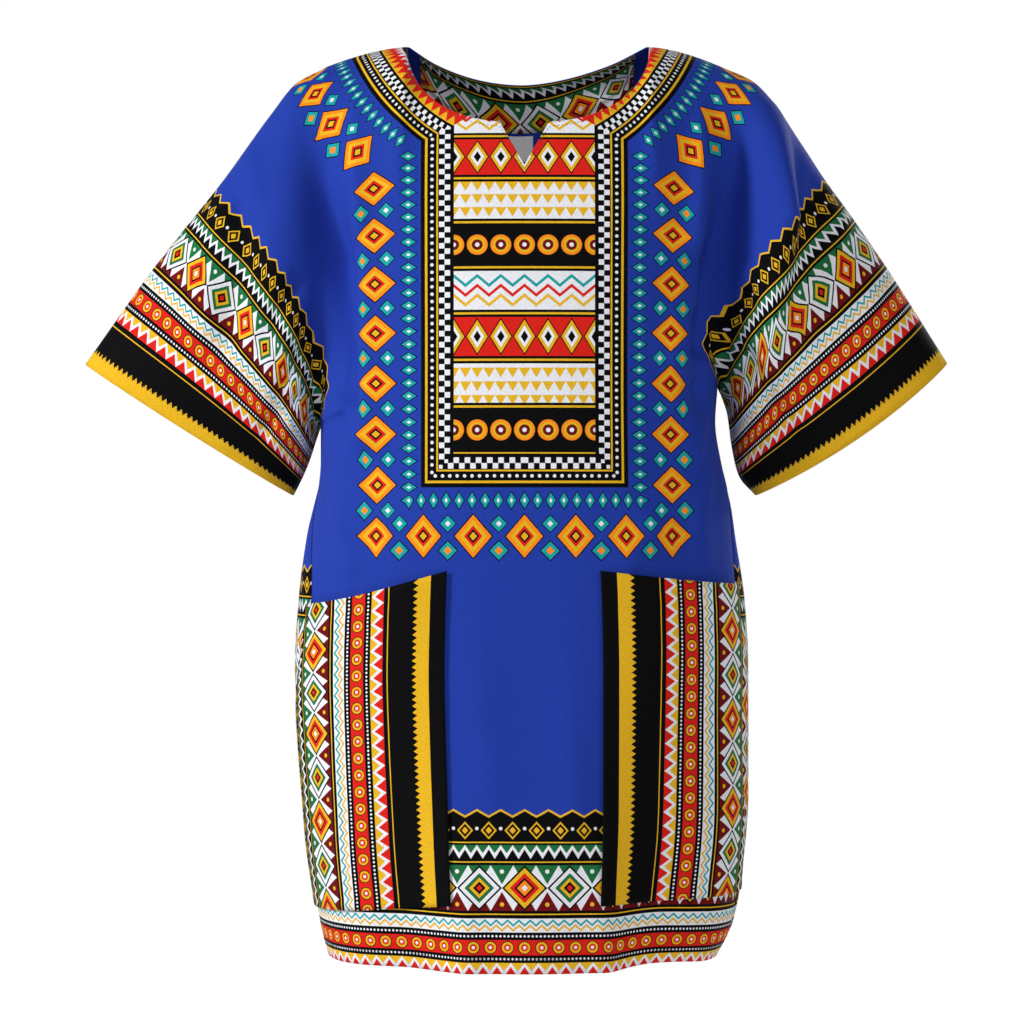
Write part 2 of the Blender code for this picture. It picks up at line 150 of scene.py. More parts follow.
# Drops between which the cloth stops following the shoulder's slope
SLOPE_DROPS = (0.05, 0.28)
# Share of an arm row over which folds fade in from a seam
SEAM_FADE = 0.15

# The main folds, as the solids have them
Fold = namedtuple("Fold", "run x1 z1 x2 z2 height1 height2 width")
FRONT_FOLDS = (
    Fold("left armpit", -0.174, -0.080, -0.156, -0.180, -0.004, -0.017, 0.018),
    Fold("left armpit", -0.156, -0.180, -0.150, -0.310, -0.017, -0.012, 0.018),
    Fold("left chest edge", -0.132, -0.130, -0.130, -0.330, 0.004, 0.009, 0.013),
    Fold("right armpit", 0.176, -0.090, 0.156, -0.190, -0.006, -0.019, 0.018),
    Fold("right armpit", 0.156, -0.190, 0.146, -0.290, -0.019, -0.012, 0.017),
    Fold("right chest edge", 0.150, -0.090, 0.128, -0.270, 0.003, 0.008, 0.013),
    Fold("right sleeve ridge", 0.196, -0.060, 0.214, -0.150, 0.005, 0.012, 0.015),
    Fold("right sleeve ridge", 0.214, -0.150, 0.200, -0.270, 0.012, 0.005, 0.015),
    Fold("right sleeve trough", 0.244, -0.120, 0.236, -0.240, -0.010, -0.006, 0.014),
    Fold("left sleeve tuck", -0.220, -0.140, -0.246, -0.250, -0.004, -0.009, 0.013),
    Fold("left sleeve ridge", -0.250, -0.150, -0.274, -0.240, 0.005, 0.003, 0.015),
    Fold("right drag line", 0.128, -0.300, 0.146, -0.430, 0.006, 0.005, 0.013),
    Fold("left drag line", -0.150, -0.350, -0.140, -0.430, 0.006, 0.004, 0.013),
    Fold("left hem wave", -0.106, -0.520, -0.096, -0.757, -0.002, -0.014, 0.032),
    Fold("right hem wave", 0.112, -0.540, 0.104, -0.757, -0.002, -0.016, 0.034),
    Fold("middle hem wave", 0.000, -0.560, 0.004, -0.757, 0.000, 0.005, 0.040),
)
BACK_FOLDS = (
    Fold("left armpit", -0.170, -0.080, -0.154, -0.180, -0.004, -0.016, 0.018),
    Fold("left armpit", -0.154, -0.180, -0.146, -0.300, -0.016, -0.011, 0.018),
    Fold("right armpit", 0.172, -0.080, 0.154, -0.180, -0.004, -0.017, 0.018),
    Fold("right armpit", 0.154, -0.180, 0.144, -0.280, -0.017, -0.011, 0.018),
    Fold("left blade", -0.120, -0.150, -0.112, -0.400, 0.004, 0.007, 0.018),
    Fold("right blade", 0.118, -0.140, 0.108, -0.420, 0.004, 0.006, 0.018),
    Fold("left hem wave", -0.080, -0.420, -0.092, -0.757, -0.002, -0.015, 0.032),
    Fold("middle hem wave", 0.030, -0.380, 0.020, -0.757, -0.002, -0.013, 0.034),
    Fold("right hem wave", 0.114, -0.460, 0.124, -0.757, -0.002, -0.010, 0.028),
    Fold("middle hem ridge", -0.030, -0.450, -0.036, -0.757, 0.000, 0.007, 0.028),
    Fold("right sleeve ridge", 0.216, -0.110, 0.222, -0.250, 0.009, 0.005, 0.015),
    Fold("left sleeve ridge", -0.214, -0.100, -0.226, -0.260, 0.009, 0.004, 0.015),
)

# Lesser creases that the solids leave out: drag lines at the armpits, tucks at the sleeves' bends, faint pulls
# from the neck and the pockets
FRONT_CREASES = (
    Fold("left armpit trough", -0.168, -0.105, -0.157, -0.175, -0.0020, -0.0100, 0.010),
    Fold("left armpit trough", -0.157, -0.175, -0.145, -0.300, -0.0100, -0.0060, 0.010),
    Fold("right armpit trough", 0.178, -0.080, 0.168, -0.140, -0.0040, -0.0115, 0.009),
    Fold("right armpit trough", 0.168, -0.140, 0.154, -0.255, -0.0115, -0.0070, 0.009),
    Fold("right chest ridge", 0.154, -0.090, 0.144, -0.220, 0.0015, 0.0050, 0.007),
    Fold("left sleeve tuck", -0.236, -0.138, -0.224, -0.214, -0.0060, -0.0026, 0.0065),
    Fold("right sleeve fold", 0.208, -0.056, 0.216, -0.150, 0.0015, 0.0050, 0.0080),
    Fold("right sleeve tuck", 0.224, -0.066, 0.232, -0.150, -0.0020, -0.0085, 0.0070),
    Fold("right sleeve tuck", 0.232, -0.150, 0.218, -0.226, -0.0085, -0.0025, 0.0065),
    Fold("left side pull", -0.152, -0.372, -0.148, -0.500, 0.0045, 0.0010, 0.009),
    Fold("left armpit drag 1", -0.160, -0.300, -0.110, -0.350, 0.0060, 0.0000, 0.006),
    Fold("left armpit drag 2", -0.163, -0.330, -0.112, -0.402, 0.0055, 0.0000, 0.007),
    Fold("left armpit drag 3", -0.166, -0.352, -0.134, -0.446, 0.0045, 0.0000, 0.006),
    Fold("right armpit drag 1", 0.152, -0.268, 0.104, -0.324, 0.0062, 0.0000, 0.006),
    Fold("right armpit drag 2", 0.158, -0.300, 0.112, -0.382, 0.0055, 0.0000, 0.007),
    Fold("right armpit drag 3", 0.160, -0.330, 0.130, -0.430, 0.0046, 0.0000, 0.007),
    Fold("left neck pull", -0.094, -0.040, -0.112, -0.185, 0.0034, 0.0000, 0.009),
    Fold("right neck pull", 0.100, -0.036, 0.114, -0.190, 0.0036, 0.0000, 0.009),
    Fold("left shoulder fall", -0.140, -0.060, -0.136, -0.160, 0.0020, 0.0055, 0.008),
    Fold("right shoulder fall", 0.146, -0.060, 0.140, -0.170, 0.0022, 0.0060, 0.008),
    Fold("left sleeve crease 1", -0.186, -0.205, -0.226, -0.270, -0.0065, -0.0008, 0.007),
    Fold("left sleeve crease 2", -0.184, -0.262, -0.216, -0.326, -0.0060, -0.0008, 0.006),
    Fold("left sleeve crease 3", -0.226, -0.100, -0.210, -0.186, 0.0044, 0.0006, 0.008),
    Fold("left sleeve crease 4", -0.262, -0.208, -0.240, -0.300, 0.0034, 0.0004, 0.009),
    Fold("left sleeve crease 5", -0.190, -0.302, -0.236, -0.344, -0.0044, -0.0004, 0.006),
    Fold("right sleeve crease 1", 0.182, -0.212, 0.216, -0.276, -0.0070, -0.0010, 0.007),
    Fold("right sleeve crease 2", 0.184, -0.262, 0.222, -0.322, -0.0062, -0.0010, 0.006),
    Fold("right sleeve crease 3", 0.262, -0.150, 0.250, -0.240, 0.0046, 0.0008, 0.009),
    Fold("right sleeve crease 4", 0.196, -0.300, 0.244, -0.340, -0.0044, -0.0006, 0.006),
    Fold("right sleeve crease 5", 0.288, -0.215, 0.268, -0.292, 0.0034, 0.0004, 0.009),
    Fold("left waist pull", -0.112, -0.420, -0.070, -0.480, 0.0024, 0.0000, 0.012),
    Fold("right waist pull", 0.100, -0.405, 0.060, -0.470, 0.0026, 0.0000, 0.012),
    Fold("left waist fall", -0.038, -0.440, -0.030, -0.610, 0.0005, 0.0026, 0.016),
    Fold("right waist fall", 0.034, -0.450, 0.040, -0.640, 0.0005, 0.0030, 0.015),
    Fold("left hem crease", -0.052, -0.640, -0.046, -0.757, 0.0005, 0.0060, 0.013),
    Fold("right hem crease", 0.062, -0.655, 0.066, -0.757, 0.0004, 0.0054, 0.012),
)
BACK_CREASES = (
    Fold("left armpit trough", -0.174, -0.110, -0.158, -0.280, -0.0020, -0.0075, 0.011),
    Fold("right armpit trough", 0.178, -0.100, 0.156, -0.270, -0.0030, -0.0080, 0.011),
    Fold("left armpit drag 1", -0.158, -0.296, -0.106, -0.354, 0.0060, 0.0000, 0.007),
    Fold("left armpit drag 2", -0.162, -0.332, -0.118, -0.420, 0.0050, 0.0000, 0.008),
    Fold("right armpit drag 1", 0.150, -0.270, 0.104, -0.334, 0.0060, 0.0000, 0.007),
    Fold("right armpit drag 2", 0.156, -0.305, 0.108, -0.390, 0.0054, 0.0000, 0.008),
    Fold("left shoulder pull", -0.128, -0.040, -0.098, -0.170, 0.0036, 0.0000, 0.011),
    Fold("right shoulder pull", 0.132, -0.044, 0.102, -0.180, 0.0036, 0.0000, 0.011),
    Fold("left neck fall", -0.060, -0.060, -0.052, -0.220, 0.0018, 0.0040, 0.014),
    Fold("right neck fall", 0.056, -0.064, 0.064, -0.240, 0.0016, 0.0036, 0.015),
    Fold("left sleeve crease 1", -0.186, -0.215, -0.222, -0.280, -0.0065, -0.0008, 0.007),
    Fold("left sleeve crease 2", -0.184, -0.268, -0.214, -0.330, -0.0056, -0.0008, 0.006),
    Fold("left sleeve crease 3", -0.270, -0.190, -0.250, -0.270, 0.0040, 0.0006, 0.009),
    Fold("right sleeve crease 1", 0.184, -0.205, 0.218, -0.272, -0.0065, -0.0008, 0.007),
    Fold("right sleeve crease 2", 0.186, -0.266, 0.220, -0.328, -0.0056, -0.0008, 0.006),
    Fold("right sleeve crease 3", 0.262, -0.180, 0.246, -0.262, 0.0040, 0.0006, 0.009),
    Fold("left waist pull", -0.140, -0.430, -0.094, -0.500, 0.0034, 0.0000, 0.014),
    Fold("right waist pull", 0.136, -0.440, 0.086, -0.520, 0.0030, 0.0000, 0.015),
    Fold("left hem crease", -0.130, -0.610, -0.134, -0.757, 0.0004, 0.0050, 0.015),
    Fold("right hem crease", 0.074, -0.600, 0.080, -0.757, 0.0004, 0.0064, 0.015),
)

# ---- Cloth, cut and stitching ----
# Cells of the cloth's grid in each cell of the solids' grid
FINE = 5
CLOTH = 0.6 * MM
SLEEVE_CELL = 24.6 * MM
NORMAL_SPREAD = 12.0 * MM
SEAM_GROOVE = 1.1 * MM
SEAM_GROOVE_WIDTH = 2.4 * MM
CUFF_AT_SHOULDER = 0.330
CUFF_AT_ARMPIT = 0.130
# Over the body the distance from the cuff grows faster than the cloth's own length, and with each row below
# the armpits, so that the sleeve's border ends where the photo's does
CUFF_PER_INWARD = 1.7
CUFF_PER_ROW = 0.02
HEM_BORDER_START = 0.041
SIDE_BORDER_START = 0.086
SIDE_BORDER_TOP = 0.500
BORDER_WIDTH = 0.170
CUFF_BORDER_REACH = 0.2
HEM_STITCH = 12.0 * MM
CUFF_STITCH = 12.0 * MM
NECK_STITCH = 4.5 * MM
POCKET_STITCH = 2.0 * MM
POCKET_FINE = 6
POCKET_CLOTH = 1.0 * MM
POCKET_LIFT = 0.3 * MM
POCKET_MARGIN = 13.0 * MM
POCKET_HEM = 25.0 * MM
# A pocket puffs out in full this far in from its inner edge, the side seam and its foot, and less below its mouth
PUFF_FROM_INNER = 0.045
PUFF_FROM_SEAM = 0.03
PUFF_FROM_FOOT = 0.06
PUFF_BELOW_MOUTH = 0.45
MOUTH_REACH = (0.02, 0.12)
EDGE_FOLD = 0.35 * MM
EDGE_FOLD_WIDTH = 8.0 * MM
FACING_GAP = 0.3 * MM
FACING_PRINT = 0.146
LABEL_CLOTH = 0.7 * MM
LABEL_HANG = 1.2 * MM
LABEL_HANG_LENGTH = 0.02
# Threads of the facing's bound edge: up from its cut edge, slant to the edge, length and gap of each
BINDING_SINK = 0.1 * MM
BINDING = (
    (1.6 * MM, math.radians(74.0), 3.4 * MM, -1.9 * MM),
    (3.4 * MM, math.radians(8.0), 3.4 * MM, 0.2 * MM),
)

# Sizes and areas of what shows of each cut piece, laid flat
FRONT_AREA = 0.43
BACK_AREA = 0.49
POCKET_LEFT_CUT = (0.170, 0.270)
POCKET_RIGHT_CUT = (0.145, 0.260)

# ---- Stage ----
Lamp = namedtuple("Lamp", "name place power size")
LAMPS = (
    Lamp("key", (-2.7, -1.3, 0.8), 93.0, 0.7),
    Lamp("fill", (2.5, -1.7, 0.2), 15.0, 1.2),
    Lamp("front", (0.1, -3.0, 1.1), 29.0, 0.6),
    Lamp("behind", (1.9, 2.3, 1.0), 46.0, 1.2),
)
BODY_MIDDLE = (0.0, 0.0, -0.38)
# The surroundings' strength round about and behind the shirt, and where the one passes into the other
AMBIENT = 0.13
BACKDROP = 1.0
BACKDROP_EDGE = (0.75, 0.97)
FLOOR_Z = -1.45
FLOOR_HALF = 3.6
# The camera stands level with the middle of the shirt, and the photo is as wide as PHOTO_WIDTH at the shirt
CAMERA_PLACE = (-0.010, -2.700, -0.391)
PHOTO_WIDTH = 0.860
SENSOR = 36.0


def smooth(low, high, value):
    """Ease from 0 at low to 1 at high."""
    share = np.clip((value - low) / (high - low), 0.0, 1.0)
    return share * share * (3.0 - 2.0 * share)


def mix(first, second, share):
    return first + (second - first) * share


def read(table, key, name, at):
    """Read one named column of a table at many keys, on a smooth curve that never overshoots its rows."""
    rows = sorted(table, key=lambda row: getattr(row, key))
    keys = np.array([getattr(row, key) for row in rows])
    values = np.array([getattr(row, name) for row in rows])
    slopes = np.diff(values) / np.diff(keys)
    before, after = slopes[:-1], slopes[1:]
    level = before * after <= 0.0
    middle = np.where(level, 0.0, 2.0 * before * after / np.where(level, 1.0, before + after))
    tangents = np.concatenate(([slopes[0]], middle, [slopes[-1]]))
    at = np.clip(at, keys[0], keys[-1])
    i = np.clip(np.searchsorted(keys, at) - 1, 0, len(keys) - 2)
    span = keys[i + 1] - keys[i]
    t = (at - keys[i]) / span
    rise = values[i + 1] - values[i]
    start, end = tangents[i] * span, tangents[i + 1] * span
    return values[i] + start * t + (3 * rise - 2 * start - end) * t * t + (start + end - 2 * rise) * t ** 3


def by_side(sign, left, right):
    return np.where(sign < 0, left, right)


def neck_reach(x):
    return by_side(x, NECK_LEFT, NECK_RIGHT)


def shoulder_z(x):
    """Height of the shoulder seam over a point of the body, level across the neck."""
    neck = neck_reach(x)
    share = np.maximum(0.0, (np.abs(x) - neck) / (ARMHOLE_X - neck))
    return -SHOULDER_DROP * share ** SHOULDER_POWER


def top_z(x, front):
    """Height of the panel's top edge: the shoulder seam, or the neck edge between the seams."""
    share = np.minimum(1.0, np.abs(x) / neck_reach(x))
    if front:
        arc = np.sqrt(1.0 - share ** FRONT_NECK_POWER)
        notch = NOTCH_DROP * np.maximum(0.0, 1.0 - np.abs(x) / NOTCH_HALF)
        edge = -FRONT_NECK_DROP * arc - notch
    else:
        edge = -BACK_NECK_DROP * (1.0 - share ** by_side(x, BACK_NECK_LEFT_POWER, BACK_NECK_RIGHT_POWER))
    return np.where(share >= 1.0, shoulder_z(x), edge)


def near_top(z):
    """How much a height follows the shoulder seam: 1 at the seam, 0 on the chest."""
    return 1.0 - smooth(*SLOPE_DROPS, -z)


def body_depth(z, x, front):
    """Depth of the body's middle at a height, measured from the shoulder seam near the top."""
    drop = np.maximum(0.0, shoulder_z(x) * near_top(z) - z)
    return read(DEPTHS, "drop", "front" if front else "back", drop)


def sleeve_ring(sign, share, name):
    return by_side(sign, read(LEFT_SLEEVE, "share", name, share), read(RIGHT_SLEEVE, "share", name, share))


def ring_share(row):
    """Share of the way from the over-arm seam to the underarm seam at a row from 0 to 1."""
    return 0.5 - 0.5 * np.cos(np.pi * row)


def armhole_depth(sign, row, front):
    """Depth of the armhole line: full below the shoulder, drawn in towards the armpit."""
    share = ring_share(row)
    middle = sleeve_ring(sign, np.zeros_like(share), "front" if front else "back")
    return middle * ARMHOLE_PROFILE_NORM * share ** ARMHOLE_POWER_OVER * (1.0 - share) ** ARMHOLE_POWER_UNDER


def armpit_z(x):
    """Height of the row that runs across the body from one armpit to the other."""
    return mix(LEFT_SLEEVE[0].low_z, RIGHT_SLEEVE[0].low_z, 0.5 + 0.5 * x / ARMHOLE_X)


def pocket_z(line, share, front):
    """Height of a row that follows a pocket's edge, sloped only beyond the pocket's inner edge."""
    if not front:
        return mix(line.left, line.right, 0.5 + 0.5 * share)
    slope = np.maximum(0.0, (np.abs(share) - POCKET_INNER) / (1.0 - POCKET_INNER))
    return mix(line.centre, by_side(share, line.left, line.right), slope)


def top_x(share):
    """Side position on the panel's top edge, with one column exactly at the neck's corner."""
    neck = neck_reach(share)
    out = np.abs(share)
    beyond = mix(neck, ARMHOLE_X, (out - NECK_COLUMN) / (1.0 - NECK_COLUMN))
    return np.copysign(np.where(out <= NECK_COLUMN, neck * out / NECK_COLUMN, beyond), share)


def upper_point(share, row, front):
    """Point of the body between the neck or shoulder (row 0) and the armpit row (row 1)."""
    sign = by_side(share, -1.0, 1.0)
    fall = mix(row ** FALL_POWER, ring_share(row), np.abs(share) ** SIDE_POWER)
    x = mix(top_x(share), share * sleeve_ring(sign, np.zeros_like(share), "low_x"), fall)
    z = mix(top_z(top_x(share), front), armpit_z(share * ARMHOLE_X), fall)
    at_side = armhole_depth(sign, row, front)
    middle = body_depth(z, x, front)
    over_shoulder = 0.5 + 0.5 * np.cos(np.pi * share * share)
    roundness = mix(1.0, 1.0 / SECTION_POWER, smooth(0.55, 1.0, row))
    over_chest = np.maximum(0.0, 1.0 - np.abs(share) ** SECTION_POWER) ** roundness
    y = at_side + (middle - at_side) * mix(over_shoulder, over_chest, smooth(0.25, 0.65, row))
    return x, y, z


def section_point(share, turn, z, front):
    """Point of the body below the armpits; turn runs from 0 at the middle to 1 at the widest point."""
    angle = 0.5 * np.pi * turn
    across = np.maximum(0.0, np.sin(angle)) ** (2.0 / SECTION_POWER)
    along = np.maximum(0.0, np.cos(angle)) ** (2.0 / SECTION_POWER)
    sign = by_side(share, -1.0, 1.0)
    x = sign * by_side(sign, read(WIDTHS, "z", "left", z), read(WIDTHS, "z", "right", z)) * across
    return x, body_depth(z, x, front) * along, z


def share_to_turn(share):
    """Turn whose point lies at a share of the half width."""
    return np.arcsin(np.minimum(1.0, np.abs(share) ** (0.5 * SECTION_POWER))) * 2.0 / np.pi


def lower_point(share, z, front):
    """Point of the body below the armpits, with the columns drawn up to the side seam."""
    turn = share_to_turn(share)
    seam = by_side(share, read(WIDTHS, "z", "left_seam", z), read(WIDTHS, "z", "right_seam", z))
    fixed = share_to_turn(POCKET_INNER)
    reach = seam if front else 2.0 - seam
    turn = np.where(turn > fixed, fixed + (turn - fixed) * (reach - fixed) / (1.0 - fixed), turn)
    x, depth, z = section_point(share, np.minimum(turn, 1.0), z, front)
    if front:
        return x, depth, z
    past_x, past_depth, z = section_point(share, np.minimum(1.0, 2.0 - turn), z, True)
    past = turn > 1.0
    return np.where(past, past_x, x), np.where(past, -past_depth, depth), z


def sleeve_point(sign, along, row, front):
    """Point of a half sleeve; along runs from the armhole line to the cuff, row from over- to underarm."""
    share = ring_share(row)
    ring_top_x, ring_top_z = sleeve_ring(sign, along, "top_x"), sleeve_ring(sign, along, "top_z")
    low_x, low_z = sleeve_ring(sign, along, "low_x"), sleeve_ring(sign, along, "low_z")
    length = np.hypot(ring_top_z - low_z, low_x - ring_top_x)
    bow = sleeve_ring(sign, along, "bow") * 4.0 * share * (1.0 - share) / length
    x = mix(ring_top_x, low_x, share) + (ring_top_z - low_z) * bow
    z = mix(ring_top_z, low_z, share) + (low_x - ring_top_x) * bow
    middle = sleeve_ring(sign, along, "front" if front else "back")
    round_depth = middle * np.maximum(0.0, np.sin(np.pi * row)) ** SLEEVE_POWER
    return sign * x, mix(armhole_depth(sign, row, front), round_depth, smooth(0.0, 0.4, along)), z


def fold_height(x, z, folds):
    """Height of the folds at a point: the strongest stretch of each run, summed over the runs."""
    runs = {}
    for fold in folds:
        run_x, run_z = fold.x2 - fold.x1, fold.z2 - fold.z1
        along = np.clip(((x - fold.x1) * run_x + (z - fold.z1) * run_z) / (run_x ** 2 + run_z ** 2), 0.0, 1.0)
        away = np.hypot(x - fold.x1 - run_x * along, z - fold.z1 - run_z * along)
        height = mix(fold.height1, fold.height2, along) * np.exp(-(away / fold.width) ** 2)
        kept = runs.get(fold.run, np.zeros_like(height))
        runs[fold.run] = np.where(np.abs(height) > np.abs(kept), height, kept)
    return sum(runs.values())


def share_at(column):
    """Share of the half width at a column; 0 is the left armhole line and 2 * HALF the right one."""
    out = np.minimum(float(HALF), np.abs(column - HALF))
    return np.copysign(np.interp(out, range(HALF + 1), BODY_COLUMNS), column - HALF)


def lower_z(share, row, front):
    """Height of a row below the armpits: it eases from the armpit row to the pocket's rows and the hem."""
    start = armpit_z(share * ARMHOLE_X)
    high, low = pocket_z(POCKET_TOP, share, front), pocket_z(POCKET_BOTTOM, share, front)
    chest = mix(start, high, (row - ARM_ROWS) / CHEST_ROWS)
    beside_pocket = mix(high, low, (row - POCKET_START) / POCKET_ROWS)
    hem = mix(low, HEM_Z, (row - POCKET_END) / HEM_ROWS)
    return np.where(row <= POCKET_START, chest, np.where(row <= POCKET_END, beside_pocket, hem))


def plain_points(column, row, front):
    """Points of a panel before its folds, and how much of the folds they take (none at a seam)."""
    arm = np.minimum(1.0, row / ARM_ROWS)
    sign = by_side(column - HALF, -1.0, 1.0)
    on_sleeve = (column < 0) | (column > 2 * HALF)
    beyond = np.maximum(0.0, np.abs(column - HALF) - HALF) / SLEEVE_CELLS
    sleeve = sleeve_point(sign, beyond, arm, front)
    sleeve_fade = smooth(0.0, SEAM_FADE, arm) * smooth(0.0, SEAM_FADE, 1.0 - arm)
    share = share_at(column)
    upper = upper_point(share, arm, front)
    near_armpit = smooth(0.8, 1.0, arm) * smooth(0.85, 1.0, np.abs(share))
    upper_fade = smooth(0.0, SEAM_FADE, arm) * (1.0 - near_armpit)
    lower = lower_point(share, lower_z(share, row, front), front)
    lower_fade = 1.0 - smooth(0.85, 1.0, np.abs(share))
    is_upper = row < ARM_ROWS
    points = [np.where(on_sleeve, s, np.where(is_upper, u, w)) for s, u, w in zip(sleeve, upper, lower)]
    fade = np.where(on_sleeve, sleeve_fade, np.where(is_upper, upper_fade, lower_fade))
    return np.stack(points, axis=-1), fade


COLUMNS = np.arange(-SLEEVE_CELLS, 2 * HALF + SLEEVE_CELLS + 1, dtype=float)
CELLS_BEYOND = np.maximum(0.0, np.abs(COLUMNS - HALF) - HALF)
COLUMN_PLACES = share_at(COLUMNS) * ARMHOLE_X + np.sign(COLUMNS - HALF) * SLEEVE_CELL * CELLS_BEYOND


def plain_normals(column, row, front):
    """Outward directions of a panel before its folds, evened out over a short stretch across the cloth."""
    step = 0.02
    low_row, high_row = np.maximum(0.0, row - step), np.minimum(float(LAST_ROW), row + step)
    body = (row >= ARM_ROWS) & (column >= 0) & (column <= 2 * HALF)
    place = np.interp(column, COLUMNS, COLUMN_PLACES)
    reach = np.where(body, ARMHOLE_X, COLUMN_PLACES[-1])
    spread = np.clip(reach - np.abs(place), 0.05 * MM, NORMAL_SPREAD)
    low_column = np.interp(np.maximum(place - spread, -reach), COLUMN_PLACES, COLUMNS)
    high_column = np.interp(np.minimum(place + spread, reach), COLUMN_PLACES, COLUMNS)
    outside = ((column <= 0) | (column >= 2 * HALF)) & (row <= ARM_ROWS)
    high_row = np.where(outside, np.minimum(high_row, float(ARM_ROWS)), high_row)
    across = plain_points(high_column, row, front)[0] - plain_points(low_column, row, front)[0]
    down = plain_points(column, high_row, front)[0] - plain_points(column, low_row, front)[0]
    normal = np.cross(across, down)
    return normal / np.maximum(1e-12, np.linalg.norm(normal, axis=-1, keepdims=True))


def panel_points(column, row, front, folds):
    """Outer points of a panel with its folds, and their outward directions, in place."""
    column, row = np.broadcast_arrays(np.asarray(column, float), np.asarray(row, float))
    points, fade = plain_points(column, row, front)
    normals = plain_normals(column, row, front)
    on_plane_seam = (row == 0) & (np.abs(share_at(column)) >= NECK_COLUMN)
    on_underarm = (row == ARM_ROWS) & ((column < 0) | (column > 2 * HALF))
    flat = on_plane_seam | on_underarm
    normals[..., 1] = np.where(flat, 0.0, normals[..., 1])
    normals /= np.maximum(1e-12, np.linalg.norm(normals, axis=-1, keepdims=True))
    at_armpit = (row == ARM_ROWS) & ((column == 0) | (column == 2 * HALF))
    normals[at_armpit] = (0.0, 0.0, -1.0)
    points = points + normals * (fold_height(points[..., 0], points[..., 2], folds) * fade)[..., None]
    facing = np.array((1.0, -1.0 if front else 1.0, 1.0))
    return points * facing, normals * facing


def lengths_along(points, axis):
    """Length of cloth from the first point of a grid of points to each one, along an axis."""
    steps = np.linalg.norm(np.diff(points, axis=axis), axis=-1)
    start = np.zeros_like(np.take(steps, [0], axis=axis))
    return np.concatenate((start, np.cumsum(steps, axis=axis)), axis=axis)


def seam_groove(distance):
    """How far the cloth is drawn in near a seam."""
    return -SEAM_GROOVE * np.exp(-(distance / SEAM_GROOVE_WIDTH) ** 2)


class PanelCloth:
    """Fine grid of one panel's cloth: points, outward directions, and where each point lies on the flat cut."""

    def __init__(self, front):
        self.front = front
        self.folds = FRONT_FOLDS + FRONT_CREASES if front else BACK_FOLDS + BACK_CREASES
        self.columns = np.linspace(-SLEEVE_CELLS, 2 * HALF + SLEEVE_CELLS, (2 * HALF + 2 * SLEEVE_CELLS) * FINE + 1)
        self.column, self.row = np.meshgrid(self.columns, np.linspace(0, LAST_ROW, LAST_ROW * FINE + 1))
        self.outside = (self.column < 0) | (self.column > 2 * HALF)
        self.points, self.normals = panel_points(self.column, self.row, front, self.folds)
        self.first = SLEEVE_CELLS * FINE
        self.middle = self.first + HALF * FINE
        self.last = self.middle + HALF * FINE
        self.arm = ARM_ROWS * FINE
        self.measure()

    def at_armhole(self, values):
        """Values of a measure on the armhole line, at each place's own side and row."""
        return np.where(self.column < HALF, values[:, [self.first]], values[:, [self.last]])

    def measure(self):
        """Lengths of cloth: across from the middle, up from the hem, round the sleeve, in from the cuff and from
        the side, and down from the shoulder."""
        across = lengths_along(self.points, 1)
        self.across = across - across[:, [self.middle]]
        down = lengths_along(self.points, 0)
        up = down[[-1]] - down
        # A sleeve lies as far from the hem as the armhole line beside it
        self.up_from_hem = np.where(self.outside, self.at_armhole(up), up)
        self.round_sleeve = np.where(self.outside, down, self.at_armhole(down))
        self.from_side = np.maximum(0.0, np.abs(self.at_armhole(self.across)) - np.abs(self.across))
        arm = np.minimum(1.0, self.row / ARM_ROWS)
        at_line = mix(CUFF_AT_SHOULDER, CUFF_AT_ARMPIT, ring_share(arm))
        beyond = np.maximum(0.0, np.abs(self.column - HALF) - HALF) / SLEEVE_CELLS
        below = np.maximum(0.0, self.row - ARM_ROWS)
        on_body = at_line + CUFF_PER_INWARD * self.from_side + CUFF_PER_ROW * below
        self.from_cuff = np.where(beyond > 0, at_line * (1.0 - beyond), on_body)
        x, z = self.points[..., 0], self.points[..., 2]
        top = np.where(np.abs(x) < ARMHOLE_X, shoulder_z(x), z[[0]])
        drop = np.maximum(0.0, top * near_top(z) - z)
        # Length of cloth down the chest at each millimetre of drop, past the hem
        drops = np.linspace(0.0, 0.80, 801)
        depth = read(DEPTHS, "drop", "front" if self.front else "back", drops)
        slope = np.concatenate(([0.0], np.cumsum(np.hypot(np.diff(drops), np.diff(depth)))))
        self.below_shoulder = np.interp(drop, drops, slope)
        armpit = slice(self.arm, self.arm + 1)
        wider = np.abs(self.across[armpit]) / np.maximum(0.001, np.abs(x[armpit]))
        wider[:, self.middle] = 1.0
        upper = x * mix(1.0, wider, smooth(0.3, 1.0, arm))
        sleeve = self.at_armhole(upper) + self.across - self.at_armhole(self.across)
        self.flat_across = np.where(self.row >= ARM_ROWS, self.across, np.where(self.outside, sleeve, upper))
        self.surface = self.points + self.normals * self.grooves(down)[..., None]

    def grooves(self, down):
        """How far the cloth is drawn in along the shoulder, underarm and side seams."""
        top = np.where(np.abs(share_at(self.column)) >= NECK_COLUMN, seam_groove(down), 0.0)
        low = np.where(self.outside, seam_groove(np.abs(down - down[[self.arm]])), 0.0)
        side = np.where(~self.outside & (self.row >= ARM_ROWS), seam_groove(self.from_side), 0.0)
        return top + low + side


def new_piece(name, bm, material, attributes=None):
    """Make an object from a bmesh, with its material and each vertex's places on the flat cut, if it has any."""
    mesh = bpy.data.meshes.new(name)
    bm.to_mesh(mesh)
    bm.free()
    for attribute, values in (attributes or {}).items():
        layer = mesh.attributes.new(attribute, "FLOAT_VECTOR", "POINT")
        layer.data.foreach_set("vector", np.ascontiguousarray(values, np.float32).ravel())
    mesh.materials.append(material)
    mesh.shade_smooth()
    piece = bpy.data.objects.new(name, mesh)
    bpy.context.scene.collection.objects.link(piece)
    return piece


